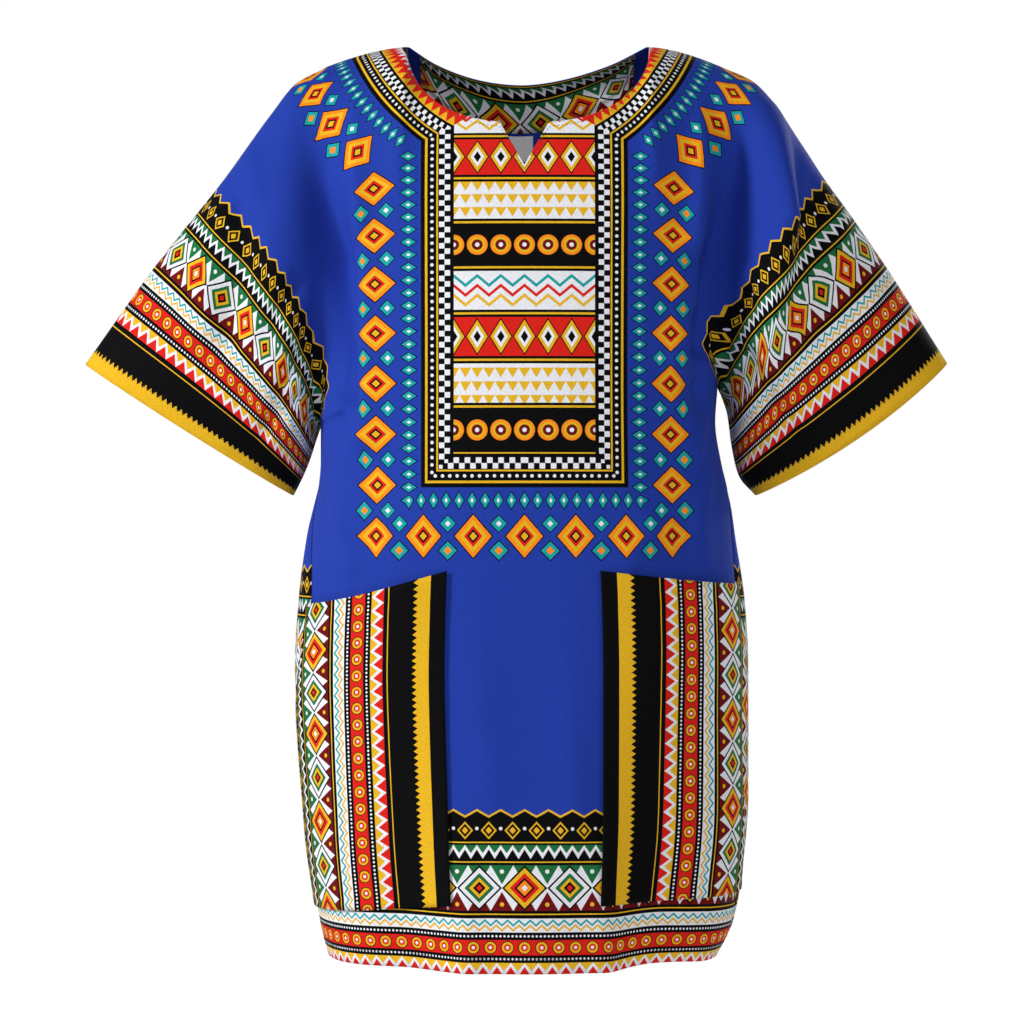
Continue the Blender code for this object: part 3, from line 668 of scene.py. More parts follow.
def grid_cloth(points, keep=None):
    """Grid of cloth from bmesh's own grid, with its vertices moved to the given points, cut to the kept ones.

    Returns the bmesh and, for each vertex left, its place in the grid of points."""
    rows, columns = points.shape[:2]
    bm = bmesh.new()
    bmesh.ops.create_grid(bm, x_segments=columns - 1, y_segments=rows - 1, size=1.0)
    places = []
    for vertex in bm.verts:
        i = round((1.0 - vertex.co.y) * 0.5 * (rows - 1))
        j = round((vertex.co.x + 1.0) * 0.5 * (columns - 1))
        vertex.co = points[i, j]
        places.append((i, j))
    if keep is not None:
        gone = [vertex for vertex, place in zip(bm.verts, places) if not keep[place]]
        places = [place for place in places if keep[place]]
        bmesh.ops.delete(bm, geom=gone, context="VERTS")
    bmesh.ops.recalc_face_normals(bm, faces=bm.faces)
    return bm, tuple(np.array(places).T)


FRONT_PANEL = PanelCloth(True)
BACK_PANEL = PanelCloth(False)

# ---- Materials ----
MATH = "ShaderNodeMath"
MIX = "ShaderNodeMix"
VECTOR = "ShaderNodeVectorMath"
COMBINE = "ShaderNodeCombineXYZ"
SEPARATE = "ShaderNodeSeparateXYZ"
ATTRIBUTE = "ShaderNodeAttribute"


def linear(colour):
    """Linear colour of an sRGB hex string such as 2B3FB0."""
    values = [int(colour[i:i + 2], 16) / 255.0 for i in (0, 2, 4)]
    return (*(v / 12.92 if v <= 0.04045 else ((v + 0.055) / 1.055) ** 2.4 for v in values), 1.0)


def add(tree, kind, *inputs, out=None, **settings):
    """Add a node. Inputs go to its sockets in order; settings name its sockets or its properties."""
    node = tree.nodes.new(kind)
    sockets = {socket.identifier: socket for socket in node.inputs}
    for name, value in settings.items():
        if name not in sockets:
            setattr(node, name, value)
    pairs = list(zip(node.inputs, inputs))
    pairs += [(sockets[name], value) for name, value in settings.items() if name in sockets]
    for socket, value in pairs:
        if isinstance(value, bpy.types.NodeSocket):
            tree.links.new(value, socket)
        else:
            socket.default_value = value
    named = {socket.identifier: socket for socket in node.outputs}
    if isinstance(out, tuple):
        return [named[name] for name in out]
    return named.get(out) or node.outputs[0]


def new_material(name):
    material = bpy.data.materials.new(name)
    material.use_nodes = True
    return material, material.node_tree


# Shapes of the print. Each takes the length along its row, the distance across it, and its places in metres
def band(tree, along, across, low, high):
    """Straight band between two distances."""
    return add(tree, MATH, across, 0.5 * (low + high), 0.5 * (high - low), operation="COMPARE")


def spaced(tree, along, pitch, start=0.0):
    """Distance from the middle of the nearest of a row of like shapes."""
    along = add(tree, MATH, along, -start, operation="ADD") if start else along
    return add(tree, MATH, along, 0.5 * pitch, -0.5 * pitch, operation="WRAP")


def pointed_reach(tree, along, across, pitch, slope, start=0.0):
    """Distance across, drawn out to a row of points."""
    side = add(tree, MATH, spaced(tree, along, pitch, start), operation="ABSOLUTE")
    return add(tree, MATH, side, slope, across, operation="MULTIPLY_ADD")


def disc_reach(tree, along, across, middle, pitch, start=0.0):
    """Distance from the middle of the nearest of a row of discs."""
    y = add(tree, MATH, across, -middle, operation="ADD")
    place = add(tree, COMBINE, spaced(tree, along, pitch, start), y, 0.0)
    return add(tree, VECTOR, place, out="Value", operation="LENGTH")


def diamond_reach(tree, along, across, middle, pitch, slimness, start=0.0):
    """Distance from the middle of the nearest of a row of diamonds, counted as half widths along the row."""
    x = add(tree, MATH, spaced(tree, along, pitch, start), operation="ABSOLUTE")
    y = add(tree, MATH, add(tree, MATH, across, -middle, operation="ADD"), operation="ABSOLUTE")
    return add(tree, MATH, y, slimness, x, operation="MULTIPLY_ADD")


def dots(tree, along, across, middle, pitch, radius, start=0.0):
    """Row of round dots."""
    return add(tree, MATH, disc_reach(tree, along, across, middle, pitch, start), radius, operation="LESS_THAN")


def zigzag(tree, along, across, middle, pitch, height, width):
    """Zigzag line of a width, whose points reach half its height from the middle of its band."""
    wave = add(tree, MATH, along, 0.5 * pitch, operation="PINGPONG")
    line = add(tree, MATH, wave, -2.0 * height / pitch, across, operation="MULTIPLY_ADD")
    return band(tree, along, line, middle - 0.5 * (height + width), middle - 0.5 * (height - width))


def teeth(tree, along, across, foot, point, pitch, start=0.0):
    """Row of triangles that stand on one distance and point to another."""
    edge = pointed_reach(tree, along, across, pitch, 2.0 * (point - foot) / pitch, start)
    low, high = min(foot, point), max(foot, point)
    sides = (low - pitch, high) if point > foot else (low, high + pitch)
    stripe = band(tree, along, across, low, high)
    return add(tree, MATH, band(tree, along, edge, *sides), stripe, operation="MULTIPLY")


def checks(tree, along, across, low, high, size):
    """Band of squares that alternate both ways."""
    rows = add(tree, MATH, spaced(tree, along, 2.0 * size), 0.0, operation="GREATER_THAN")
    columns = add(tree, MATH, spaced(tree, across, 2.0 * size, low), 0.0, operation="GREATER_THAN")
    same = add(tree, MATH, rows, columns, 0.5, operation="COMPARE")
    return add(tree, MATH, band(tree, along, across, low, high), same, operation="MULTIPLY")


def printed(tree, cloth, colour, *shapes):
    """Print a colour over the cloth where all its shapes are 1."""
    shape = shapes[0]
    for other in shapes[1:]:
        shape = add(tree, MATH, shape, other, operation="MULTIPLY")
    return add(tree, MIX, out="Result_Color", data_type="RGBA", Factor_Float=shape, A_Color=cloth, B_Color=colour)


def print_layers(tree, cloth, dye, along, across, layers, *inside):
    """Print a table's layers one over another, inside all of the shapes given last.

    A layer is a colour, a shape and its places. In place of its colour, a shape that gives a reach has rings, the
    widest first, each with its limit and colour."""
    for colours, shape, *places in layers:
        made = shape(tree, along, across, *places)
        if isinstance(colours, str):
            cloth = printed(tree, cloth, getattr(dye, colours), made, *inside)
            continue
        for limit, colour in colours:
            ring = add(tree, MATH, made, limit, operation="LESS_THAN")
            cloth = printed(tree, cloth, getattr(dye, colour), ring, *inside)
    return cloth


# The cloth's border, in metres from its selvedge inwards: a toothed yellow band, plain black, three stripes of
# small motifs, a row of large diamonds, a row of teeth and a dotted black band with a pointed edge
BORDER = (
    (((0.1715, "yellow"), (0.1697, "black")), pointed_reach, 0.0190, 0.55),
    ("yellow", band, 0.0, 0.0100),
    ("yellow", teeth, 0.0100, 0.0140, 0.0052),
    ("yellow", band, 0.0345, 0.0354),
    # White stripe with red and yellow teeth
    ("white", band, 0.0390, 0.0500),
    ("red", teeth, 0.0390, 0.0470, 0.0110),
    ("yellow", teeth, 0.0500, 0.0435, 0.0110, 0.0055),
    ("white", dots, 0.0530, 0.0032, 0.0009),
    # Red stripe with ringed discs
    ("red", band, 0.0560, 0.0680),
    ("white", dots, 0.0710, 0.0032, 0.0009),
    (((0.0052, "black"), (0.0045, "yellow"), (0.0028, "red"), (0.0013, "white")), disc_reach, 0.0620, 0.0136),
    # White stripe with two zigzags
    ("white", band, 0.0740, 0.0850),
    ("yellow", zigzag, 0.0775, 0.0090, 0.0040, 0.0020),
    ("teal", zigzag, 0.0815, 0.0090, 0.0040, 0.0020),
    ("yellow", band, 0.0878, 0.0888),
    # Ground of the large diamonds
    ("white", band, 0.0910, 0.1270),
    ("maroon", teeth, 0.0910, 0.1060, 0.0180, 0.0180),
    ("green", teeth, 0.1270, 0.1120, 0.0180, 0.0180),
    ("yellow", dots, 0.0960, 0.0360, 0.0017, 0.0180),
    ("white", dots, 0.1220, 0.0360, 0.0017, 0.0180),
    # Large diamonds, every other one in cool colours
    (((0.0180, "black"), (0.0160, "yellow"), (0.0118, "red"), (0.0082, "black"), (0.0062, "orange"),
      (0.0026, "white")), diamond_reach, 0.1090, 0.0720, 1.0),
    (((0.0180, "black"), (0.0160, "white"), (0.0118, "green"), (0.0082, "yellow"), (0.0050, "black"),
      (0.0026, "red")), diamond_reach, 0.1090, 0.0720, 1.0, 0.0360),
    ("black", band, 0.1270, 0.1320),
    ("yellow", band, 0.1290, 0.1300),
    # White stripe with black and green teeth
    ("white", band, 0.1320, 0.1430),
    ("black", teeth, 0.1320, 0.1395, 0.0095),
    ("green", teeth, 0.1430, 0.1365, 0.0095, 0.00475),
    ("yellow", band, 0.1445, 0.1455),
    # Dots and hollow diamonds on black
    ("white", dots, 0.1560, 0.0190, 0.0014),
    (((0.0064, "yellow"), (0.0048, "black"), (0.0026, "yellow")), diamond_reach, 0.1545, 0.0190, 0.9, 0.0095),
)

# Places of the neck panel's print on the flat cut: its half width, its square foot below the shoulder line, and the
# oval of the neck with the ring that follows it
YOKE_HALF = 0.084
YOKE_FOOT = 0.422
NECK_OVAL = (0.1015, 0.118)
NECK_SCALE = 0.108
NECK_RING = 0.045
FRAME_WIDTH = 0.027
# Where the row of large diamonds passes from the panel to the ring: its radius there, length along and turn
ROW_RADIUS = 0.187
RING_START = -0.2685
RING_TURN = 0.750

# Rows of diamonds outside the frame, one on each corner, and how near the bend between panel and ring they come
SMALL_PITCH = 0.0944 / 9.0
LARGE_PITCH = 0.1230 / 3.0
SMALL_ROW_END = -0.0106
BETWEEN_ROW_END = 0.0100
SMALL_ROW = (
    (((0.0047, "black"), (0.0038, "teal"), (0.0013, "white")), diamond_reach, 0.0104, SMALL_PITCH, 0.60, 0.0104),
)
LARGE_ROW = (
    (((0.0160, "black"), (0.0148, "orange"), (0.0112, "yellow"), (0.0074, "red"), (0.0048, "black"),
      (0.0030, "yellow")), diamond_reach, 0.0390, LARGE_PITCH, 0.86, 0.0390),
)
BETWEEN_ROWS = (
    (((0.0074, "black"), (0.0064, "teal"), (0.0024, "white")), diamond_reach, 0.0290, LARGE_PITCH, 1.0, 0.0595),
    (((0.0086, "black"), (0.0074, "teal"), (0.0034, "orange")), diamond_reach, 0.0505, LARGE_PITCH, 1.0, 0.0595),
)
# Frame round panel and ring, and the ring's own teeth, in metres out from the outline
FRAME = (
    ("yellow", band, -0.0054, -0.0034),
    ("white", dots, -0.0092, 0.0060, 0.0014),
    ("yellow", band, -0.0142, -0.0128),
    ("white", band, -0.0240, -0.0150),
    ("black", checks, -0.0240, -0.0150, 0.0045),
)
RING = (
    ("red", band, -0.0440, -0.0262),
    ("yellow", teeth, -0.0262, -0.0345, 0.0120),
    ("white", teeth, -0.0440, -0.0365, 0.0120, 0.0060),
)
# Tiers across the panel, four kinds by turns: diamonds on red, rows of teeth, ringed discs on black and zigzags
TIER_PITCH = 0.0376
TIER_BARS = (("black", 0.0030), ("yellow", 0.0009))
TEETH_TIER = 1
TEETH_PITCH = 0.0110
TIERS = (
    (("red", band, -TIER_PITCH, TIER_PITCH),
     (((0.0095, "black"), (0.0084, "yellow"), (0.0056, "white"), (0.0030, "black")),
      diamond_reach, 0.0, 0.0190, 0.62)),
    (("yellow", teeth, -0.0040, 0.0040, 0.0095),),
    (("black", band, -TIER_PITCH, TIER_PITCH),
     (((0.0084, "orange"), (0.0064, "yellow"), (0.0044, "maroon"), (0.0018, "white")), disc_reach, 0.0, 0.0190)),
    (("teal", zigzag, -0.0080, 0.0190, 0.0080, 0.0030),
     ("red", zigzag, 0.0, 0.0190, 0.0080, 0.0030),
     ("yellow", zigzag, 0.0080, 0.0190, 0.0080, 0.0030)),
)


def yoke_places(tree, across, down):
    """Distance outside the outline of the neck panel and ring, the length along it, where the ring is, and how far
    along a place is from the bend between the two."""
    aside = add(tree, MATH, across, operation="ABSOLUTE")
    beside = add(tree, MATH, aside, -YOKE_HALF, operation="ADD")
    below = add(tree, MATH, down, -YOKE_FOOT, operation="ADD")
    panel_out = add(tree, MATH, beside, below, operation="MAXIMUM")
    panel_along = add(tree, MATH, beside, below, operation="MINIMUM")
    x = add(tree, MATH, aside, 1.0 / NECK_OVAL[0], operation="MULTIPLY")
    y = add(tree, MATH, down, 1.0 / NECK_OVAL[1], operation="MULTIPLY")
    oval = add(tree, VECTOR, add(tree, COMBINE, x, y, 0.0), out="Value", operation="LENGTH")
    ring_out = add(tree, MATH, oval, NECK_SCALE, -NECK_RING - NECK_SCALE, operation="MULTIPLY_ADD")
    angle = add(tree, MATH, x, y, operation="ARCTAN2")
    ring_start = RING_START + RING_TURN * ROW_RADIUS
    ring_along = add(tree, MATH, angle, -ROW_RADIUS, ring_start, operation="MULTIPLY_ADD")
    on_ring = add(tree, MATH, ring_out, panel_out, operation="LESS_THAN")
    out = add(tree, MATH, ring_out, panel_out, operation="MINIMUM")
    along = add(tree, MIX, data_type="FLOAT", Factor_Float=on_ring, A_Float=panel_along, B_Float=ring_along)
    side = add(tree, MATH, on_ring, -2.0, 1.0, operation="MULTIPLY_ADD")
    from_bend = add(tree, MATH, add(tree, MATH, along, -RING_START, operation="ADD"), side, operation="MULTIPLY")
    return out, along, on_ring, from_bend


def print_yoke(tree, cloth, across, down, dye):
    """Neck ring and square-footed panel: a checked frame round tiers of motifs, and rows of separate diamonds."""
    out, along, on_ring, from_bend = yoke_places(tree, across, down)
    past_bend = add(tree, MATH, from_bend, SMALL_ROW_END, operation="GREATER_THAN")
    off_bend = add(tree, MATH, from_bend, BETWEEN_ROW_END, operation="GREATER_THAN")
    cloth = print_layers(tree, cloth, dye, along, out, SMALL_ROW, past_bend)
    cloth = print_layers(tree, cloth, dye, along, out, LARGE_ROW)
    cloth = print_layers(tree, cloth, dye, along, out, BETWEEN_ROWS, off_bend)
    cloth = printed(tree, cloth, dye.black, add(tree, MATH, out, 0.0, operation="LESS_THAN"))
    cloth = print_layers(tree, cloth, dye, along, out, FRAME)
    cloth = print_layers(tree, cloth, dye, along, out, RING, on_ring)
    inner = add(tree, MATH, out, -FRAME_WIDTH, operation="LESS_THAN")
    panel = add(tree, MATH, add(tree, MATH, inner, on_ring, operation="SUBTRACT"), 0.5, operation="GREATER_THAN")
    cloth = printed(tree, cloth, dye.white, panel)
    number = add(tree, MATH, down, 1.0 / TIER_PITCH, 0.5, operation="MULTIPLY_ADD")
    number = add(tree, MATH, number, operation="FLOOR")
    turn = add(tree, MATH, number, float(len(TIERS)), operation="FLOORED_MODULO")
    in_tier = spaced(tree, down, TIER_PITCH)
    for kind, layers in enumerate(TIERS):
        tier = add(tree, MATH, panel, band(tree, down, turn, kind - 0.5, kind + 0.5), operation="MULTIPLY")
        place = spaced(tree, down, TEETH_PITCH) if kind == TEETH_TIER else in_tier
        cloth = print_layers(tree, cloth, dye, across, place, layers, tier)
    from_middle = add(tree, MATH, in_tier, operation="ABSOLUTE")
    for colour, width in TIER_BARS:
        bar = add(tree, MATH, from_middle, 0.5 * TIER_PITCH - width, operation="GREATER_THAN")
        cloth = printed(tree, cloth, getattr(dye, colour), panel, bar)
    return cloth


# Angle of the weave's threads in a metre, at 0.8 mm a thread. That is about twice as coarse as real cotton, so
# that it shows
THREAD_TURN = 2.0 * math.pi / (0.8 * MM)
# Slubs in a metre across and down: streaks of about 2.4 by 1.1 mm, the size of the thick places of the yarn
SLUB_STRETCH = (420.0, 900.0, 0.0)
RELIEF = 0.2 * MM


def finish_cotton(tree, cloth, across, down, roughness=0.70, sheen=0.02):
    """Give a printed colour its crossing threads, its slubs and its dry, faintly fuzzy surface."""
    warp, weft = [add(tree, MATH, add(tree, MATH, place, THREAD_TURN, operation="MULTIPLY"), operation="SINE")
                  for place in (across, down)]
    weave = add(tree, MATH, warp, weft, operation="MULTIPLY")
    place = add(tree, VECTOR, add(tree, COMBINE, across, down, 0.0), SLUB_STRETCH, operation="MULTIPLY")
    slub = add(tree, "ShaderNodeTexNoise", Vector=place, Scale=1.0, Detail=2.0)
    height = add(tree, MATH, slub, 0.8, weave, operation="MULTIPLY_ADD")
    shade = add(tree, MATH, slub, 0.50, 0.75, operation="MULTIPLY_ADD")
    colour = add(tree, VECTOR, cloth, operation="SCALE", Scale=shade)
    bump = add(tree, "ShaderNodeBump", Strength=0.25, Distance=RELIEF, Height=height)
    set_shader(tree, {"Base Color": colour, "Normal": bump, "Roughness": roughness, "IOR": 1.45,
                      "Specular IOR Level": 0.05, "Sheen Weight": sheen, "Sheen Roughness": 0.4})


def set_shader(tree, settings):
    """Set the surface's own sockets by name, to nodes or to plain values."""
    inputs = tree.nodes["Principled BSDF"].inputs
    for name, value in settings.items():
        if isinstance(value, bpy.types.NodeSocket):
            tree.links.new(value, inputs[name])
        else:
            inputs[name].default_value = value


# Printed cotton of this kind is known as imitation wax print: plain-weave cotton, printed from rotary screens,
# steamed and washed. It gives the eye crisp, strong, matt colours, fine crossing threads and hardly any gloss
def printed_cotton(name, front, dye):
    """Wax-print cotton of a panel, with its borders at the cuffs and the hem."""
    material, tree = new_material(name)
    body = add(tree, ATTRIBUTE, out="Vector", attribute_name="flat_cut")
    sleeve = add(tree, ATTRIBUTE, out="Vector", attribute_name="sleeve_cut")
    across, up, down = add(tree, SEPARATE, body, out=("X", "Y", "Z"))
    round_arm, from_cuff, from_side = add(tree, SEPARATE, sleeve, out=("X", "Y", "Z"))
    cloth = tuple(dye.ground)
    edge = add(tree, MATH, up, HEM_BORDER_START, operation="ADD")
    along = across
    if front:
        cloth = print_yoke(tree, cloth, across, down, dye)
    else:
        # The back's border also turns up its sides
        side = add(tree, MATH, from_side, SIDE_BORDER_START, operation="ADD")
        top = add(tree, MATH, down, -1.0, SIDE_BORDER_TOP + BORDER_WIDTH, operation="MULTIPLY_ADD")
        on_top = add(tree, MATH, side, top, operation="LESS_THAN")
        turned = add(tree, MIX, data_type="FLOAT", Factor_Float=on_top, A_Float=up, B_Float=from_side)
        side = add(tree, MATH, side, top, operation="MAXIMUM")
        on_side = add(tree, MATH, side, edge, operation="LESS_THAN")
        along = add(tree, MIX, data_type="FLOAT", Factor_Float=on_side, A_Float=across, B_Float=turned)
        edge = add(tree, MATH, side, edge, operation="MINIMUM")
    near_cuff = add(tree, MATH, from_cuff, CUFF_BORDER_REACH, operation="LESS_THAN")
    along = add(tree, MIX, data_type="FLOAT", Factor_Float=near_cuff, A_Float=along, B_Float=round_arm)
    edge = add(tree, MIX, data_type="FLOAT", Factor_Float=near_cuff, A_Float=edge, B_Float=from_cuff)
    finish_cotton(tree, print_layers(tree, cloth, dye, along, edge, BORDER), across, down)
    return material


def cut_places(tree):
    """Where a place lies along and down a piece's flat cut."""
    place = add(tree, ATTRIBUTE, out="Vector", attribute_name="flat_cut")
    return add(tree, SEPARATE, place, out=("X", "Y"))


# The pockets and the facing are cut from the same wax print's border, so the eye sees mostly black cotton, printed
# deep and matt, with stripes of bright motifs
def border_cotton(name, dye):
    """Wax-print cotton cut from its border."""
    material, tree = new_material(name)
    along, across = cut_places(tree)
    finish_cotton(tree, print_layers(tree, tuple(dye.ground), dye, along, across, BORDER), along, across)
    return material


# Woven label tape, a polyester satin or taffeta ribbon woven narrow on a needle loom: brighter and smoother than
# the cotton beside it, with fine ribs across and a faint soft sheen, bare of any text
def woven_label(name):
    """White woven label tape."""
    material, tree = new_material(name)
    along, across = cut_places(tree)
    rib = add(tree, MATH, add(tree, MATH, across, THREAD_TURN, operation="MULTIPLY"), operation="SINE")
    tone = add(tree, MATH, rib, 0.03, 0.80, operation="MULTIPLY_ADD")
    finish_cotton(tree, add(tree, COMBINE, tone, tone, tone), along, across, 0.45, 0.15)
    return material


# Sewing thread, spun polyester of two plies twined together: it lies as small dark beads, slightly glossy. Noise
# lightens and darkens its colour along it, a painted highlight and shade of the plies' twist
def sewing_thread(name, colour):
    """Spun polyester thread, with painted highlight and shade along its twist."""
    material, tree = new_material(name)
    place = add(tree, "ShaderNodeTexCoord", out="Object")
    twist_light_noise = add(tree, "ShaderNodeTexNoise", Vector=place, Scale=1800.0, Detail=1.0)
    # Painted highlight and shade of the plies' twist: the noise scales the thread's colour
    shade = add(tree, MATH, twist_light_noise, 0.6, 0.7, operation="MULTIPLY_ADD")
    twist_shaded_colour = add(tree, VECTOR, tuple(colour)[:3], operation="SCALE", Scale=shade)
    set_shader(tree, {"Base Color": twist_shaded_colour, "Roughness": 0.5, "Sheen Weight": 0.2})
    return material


# Studio paper, a matt white background roll of pressed wood pulp: even and without gloss, so it shows no reflection
def studio_paper(name):
    """White studio background paper."""
    material, tree = new_material(name)
    grain = add(tree, "ShaderNodeTexNoise", Vector=add(tree, "ShaderNodeTexCoord", out="Object"), Scale=900.0)
    bump = add(tree, "ShaderNodeBump", Strength=0.05, Distance=RELIEF, Height=grain)
    set_shader(tree, {"Base Color": linear("FAFAFB"), "Normal": bump, "Roughness": 0.9, "Specular IOR Level": 0.1})
    return material


# ---- Pieces ----
def make_cloth(name, material, thickness, points, flat_cut, sleeve_cut=None, keep=None, turn=False):
    """Make a sheet of cloth from a grid of points of its outer face, and give it its thickness inwards."""
    bm, kept = grid_cloth(points, keep)
    if turn:
        bmesh.ops.reverse_faces(bm, faces=bm.faces[:])
    cuts = {"flat_cut": flat_cut, "sleeve_cut": sleeve_cut}
    places = {cut: np.stack(measures, axis=-1)[kept] for cut, measures in cuts.items() if measures}
    piece = new_piece(name, bm, material, places)
    wall = piece.modifiers.new("cloth", "SOLIDIFY")
    wall.thickness = thickness
    wall.offset = -1.0
    return piece


def hand_over(piece, node):
    """Fix a piece to the body, in the place of its solid, which it hides if it has one."""
    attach(piece, "root")
    if node:
        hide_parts(node)


def make_panel(name, panel, material, thickness):
    """Front or back with its half sleeves, drawn in along its seams."""
    return make_cloth(name, material, thickness, panel.surface,
                      (panel.flat_across, panel.up_from_hem, panel.below_shoulder),
                      (panel.round_sleeve, panel.from_cuff, panel.from_side),
                      ~panel.outside | (panel.row <= ARM_ROWS), not panel.front)


def pocket_surface(sign, puff):
    """Outer points of a patch pocket, their outward directions, and lengths in from its edges."""
    inner = BODY_COLUMNS.index(POCKET_INNER)
    columns = HALF + sign * np.linspace(inner, HALF, (HALF - inner) * POCKET_FINE + 1)
    rows = np.linspace(POCKET_START, POCKET_END, POCKET_ROWS * POCKET_FINE + 1)
    column, row = np.meshgrid(np.sort(columns), rows)
    points, normals = panel_points(column, row, True, FRONT_PANEL.folds)
    across = lengths_along(points, 1)
    from_inner = across if sign > 0 else across[:, [-1]] - across
    to_seam = from_inner.max(axis=1, keepdims=True) - from_inner
    down = lengths_along(points, 0)
    up = down[[-1]] - down
    loose = smooth(0.0, PUFF_FROM_INNER, from_inner) * smooth(0.0, PUFF_FROM_SEAM, to_seam)
    loose *= smooth(0.0, PUFF_FROM_FOOT, up)
    puff = puff * loose * mix(1.0, PUFF_BELOW_MOUTH, smooth(*MOUTH_REACH, down))
    lift = POCKET_LIFT + POCKET_CLOTH + puff
    edges = np.minimum(np.minimum(from_inner, up), down)
    lift += EDGE_FOLD * (1.0 - smooth(EDGE_FOLD_WIDTH - MM, EDGE_FOLD_WIDTH + MM, edges))
    lift += EDGE_FOLD * (1.0 - smooth(POCKET_HEM - MM, POCKET_HEM + MM, down))
    return points + normals * lift[..., None], normals, from_inner, up, down


def make_pocket(name, sign, puff, material):
    """Patch pocket between its inner edge and the side seam, a little lifted in its middle and at its mouth."""
    surface, _, from_inner, up, down = pocket_surface(sign, puff)
    return make_cloth(name, material, POCKET_CLOTH, surface, (up, from_inner - POCKET_MARGIN, down))


def facing_surface():
    """Outer face of the strip turned inside along the back neck, with lengths along and down it."""
    reach = BODY_COLUMNS.index(NECK_COLUMN) - 1
    columns = np.linspace(HALF - reach, HALF + reach, 2 * reach * FINE + 1)
    column, row = np.meshgrid(columns, np.linspace(0.0, FACING_ROWS, 4 * FINE + 1))
    points, normals = panel_points(column, row, False, BACK_PANEL.folds)
    return points - normals * (CLOTH + FACING_GAP), normals, lengths_along(points, 1), lengths_along(points, 0)


def make_facing(name, material, thickness):
    """Strip of the same cloth inside the back neck."""
    surface, _, along, down = facing_surface()
    return make_cloth(name, material, thickness, surface, (along, FACING_PRINT - down, down))


def make_label(name, material):
    """Small woven label hanging from under the facing, bare of any text."""
    columns = np.linspace(HALF + LABEL_COLUMNS[0], HALF + LABEL_COLUMNS[1], 3 * FINE + 1)
    column, row = np.meshgrid(columns, np.linspace(*LABEL_ROWS, 3 * FINE + 1))
    points, normals = panel_points(column, row, False, BACK_PANEL.folds)
    along, down = lengths_along(points, 1), lengths_along(points, 0)
    hang = CLOTH + FACING_GAP + LABEL_HANG * smooth(0.0, LABEL_HANG_LENGTH, down)
    return make_cloth(name, material, LABEL_CLOTH, points - normals * hang[..., None], (along, down, down))


# ---- Sewing ----
def stitch_path(points, normals, measure, value, axis):
    """Points and outward directions of the cloth where a measure reaches a value, one for each row or column."""
    if axis == 1:
        points, normals, measure = points.swapaxes(0, 1), normals.swapaxes(0, 1), measure.swapaxes(0, 1)
    path = []
    for j in range(measure.shape[1]):
        side = measure[:, j] - value
        crossing = np.nonzero(side[:-1] * side[1:] <= 0.0)[0]
        if len(crossing):
            i = crossing[0]
            share = side[i] / (side[i] - side[i + 1]) if side[i] != side[i + 1] else 0.0
            path.append((mix(points[i, j], points[i + 1, j], share), mix(normals[i, j], normals[i + 1, j], share)))
    return np.array([p for p, n in path]), np.array([n for p, n in path])


def sew(bm, points, normals, stitch, gap, thread, slant=0.0):
    """Lay a row of stitches along a path on the cloth, each a slim rounded bead of thread."""
    length = np.concatenate(([0.0], np.cumsum(np.linalg.norm(np.diff(points, axis=0), axis=1))))
    for start in np.arange(0.5 * (stitch + gap), length[-1] - stitch, stitch + gap):
        low, high, up = [Vector([np.interp(at, length, values[:, k]) for k in range(3)]) for at, values in (
            (start - 0.5 * stitch, points), (start + 0.5 * stitch, points), (start, normals))]
        up.normalize()
        run = (high - low).normalized()
        side = up.cross(run).normalized()
        if slant:
            run = (run * math.cos(slant) + side * math.sin(slant)).normalized()
            side = up.cross(run).normalized()
        # A stitch is sunk into the cloth by a fifth of its thickness
        middle = 0.5 * (low + high) + up * 0.3 * thread
        turn = Matrix((run, side, up)).transposed().to_4x4()
        size = Matrix.Diagonal((0.5 * stitch, 0.5 * thread, 0.5 * thread, 1.0))
        bmesh.ops.create_icosphere(bm, subdivisions=1, radius=1.0, matrix=Matrix.Translation(middle) @ turn @ size)


def make_stitching(name, material, stitch, gap, thread, puff):
    """Topstitching of the hem, cuffs, neck edge and pockets, as one mesh of separate stitches."""
    paths = []
    for panel in (FRONT_PANEL, BACK_PANEL):
        every, arm = slice(None), slice(0, panel.arm + 1)
        neck = np.abs(share_at(panel.columns)) <= NECK_COLUMN
        for part, measure, value, axis in (
                ((every, slice(panel.first, panel.last + 1)), panel.up_from_hem, HEM_STITCH, 0),
                ((every, neck), lengths_along(panel.surface, 0), NECK_STITCH, 0),
                ((arm, slice(0, panel.first)), panel.from_cuff, CUFF_STITCH, 1),
                ((arm, slice(panel.last + 1, None)), panel.from_cuff, CUFF_STITCH, 1)):
            paths.append(stitch_path(panel.surface[part], panel.normals[part], measure[part], value, axis))
    for sign in (-1, 1):
        surface, normals, from_inner, up, down = pocket_surface(sign, puff)
        for measure, value, axis in (
                (down, POCKET_HEM, 0), (up, POCKET_STITCH, 0), (from_inner, POCKET_STITCH, 1)):
            paths.append(stitch_path(surface, normals, measure, value, axis))
    bm = bmesh.new()
    for path in paths:
        sew(bm, *path, stitch, gap, thread)
    return new_piece(name, bm, material)


def make_overlock(name, material, thread):
    """Close slanted threads that bind the facing's cut edge."""
    bm = bmesh.new()
    surface, normals, _, down = facing_surface()
    cut_edge = down[-1].min()
    for height, slant, stitch, gap in BINDING:
        path = stitch_path(surface - normals * (CLOTH + BINDING_SINK), -normals, down, cut_edge - height, 0)
        sew(bm, *path, stitch, gap, thread, slant)
    return new_piece(name, bm, material)


# ---- Settings ----
def dye_property(name, description, colour):
    return bpy.props.FloatVectorProperty(
        name=name, description=description, subtype="COLOR", size=4, min=0.0, max=1.0, default=linear(colour))


def length_property(name, description, length, low, high):
    return bpy.props.FloatProperty(
        name=name, description=description, unit="LENGTH", default=length, min=low, max=high)


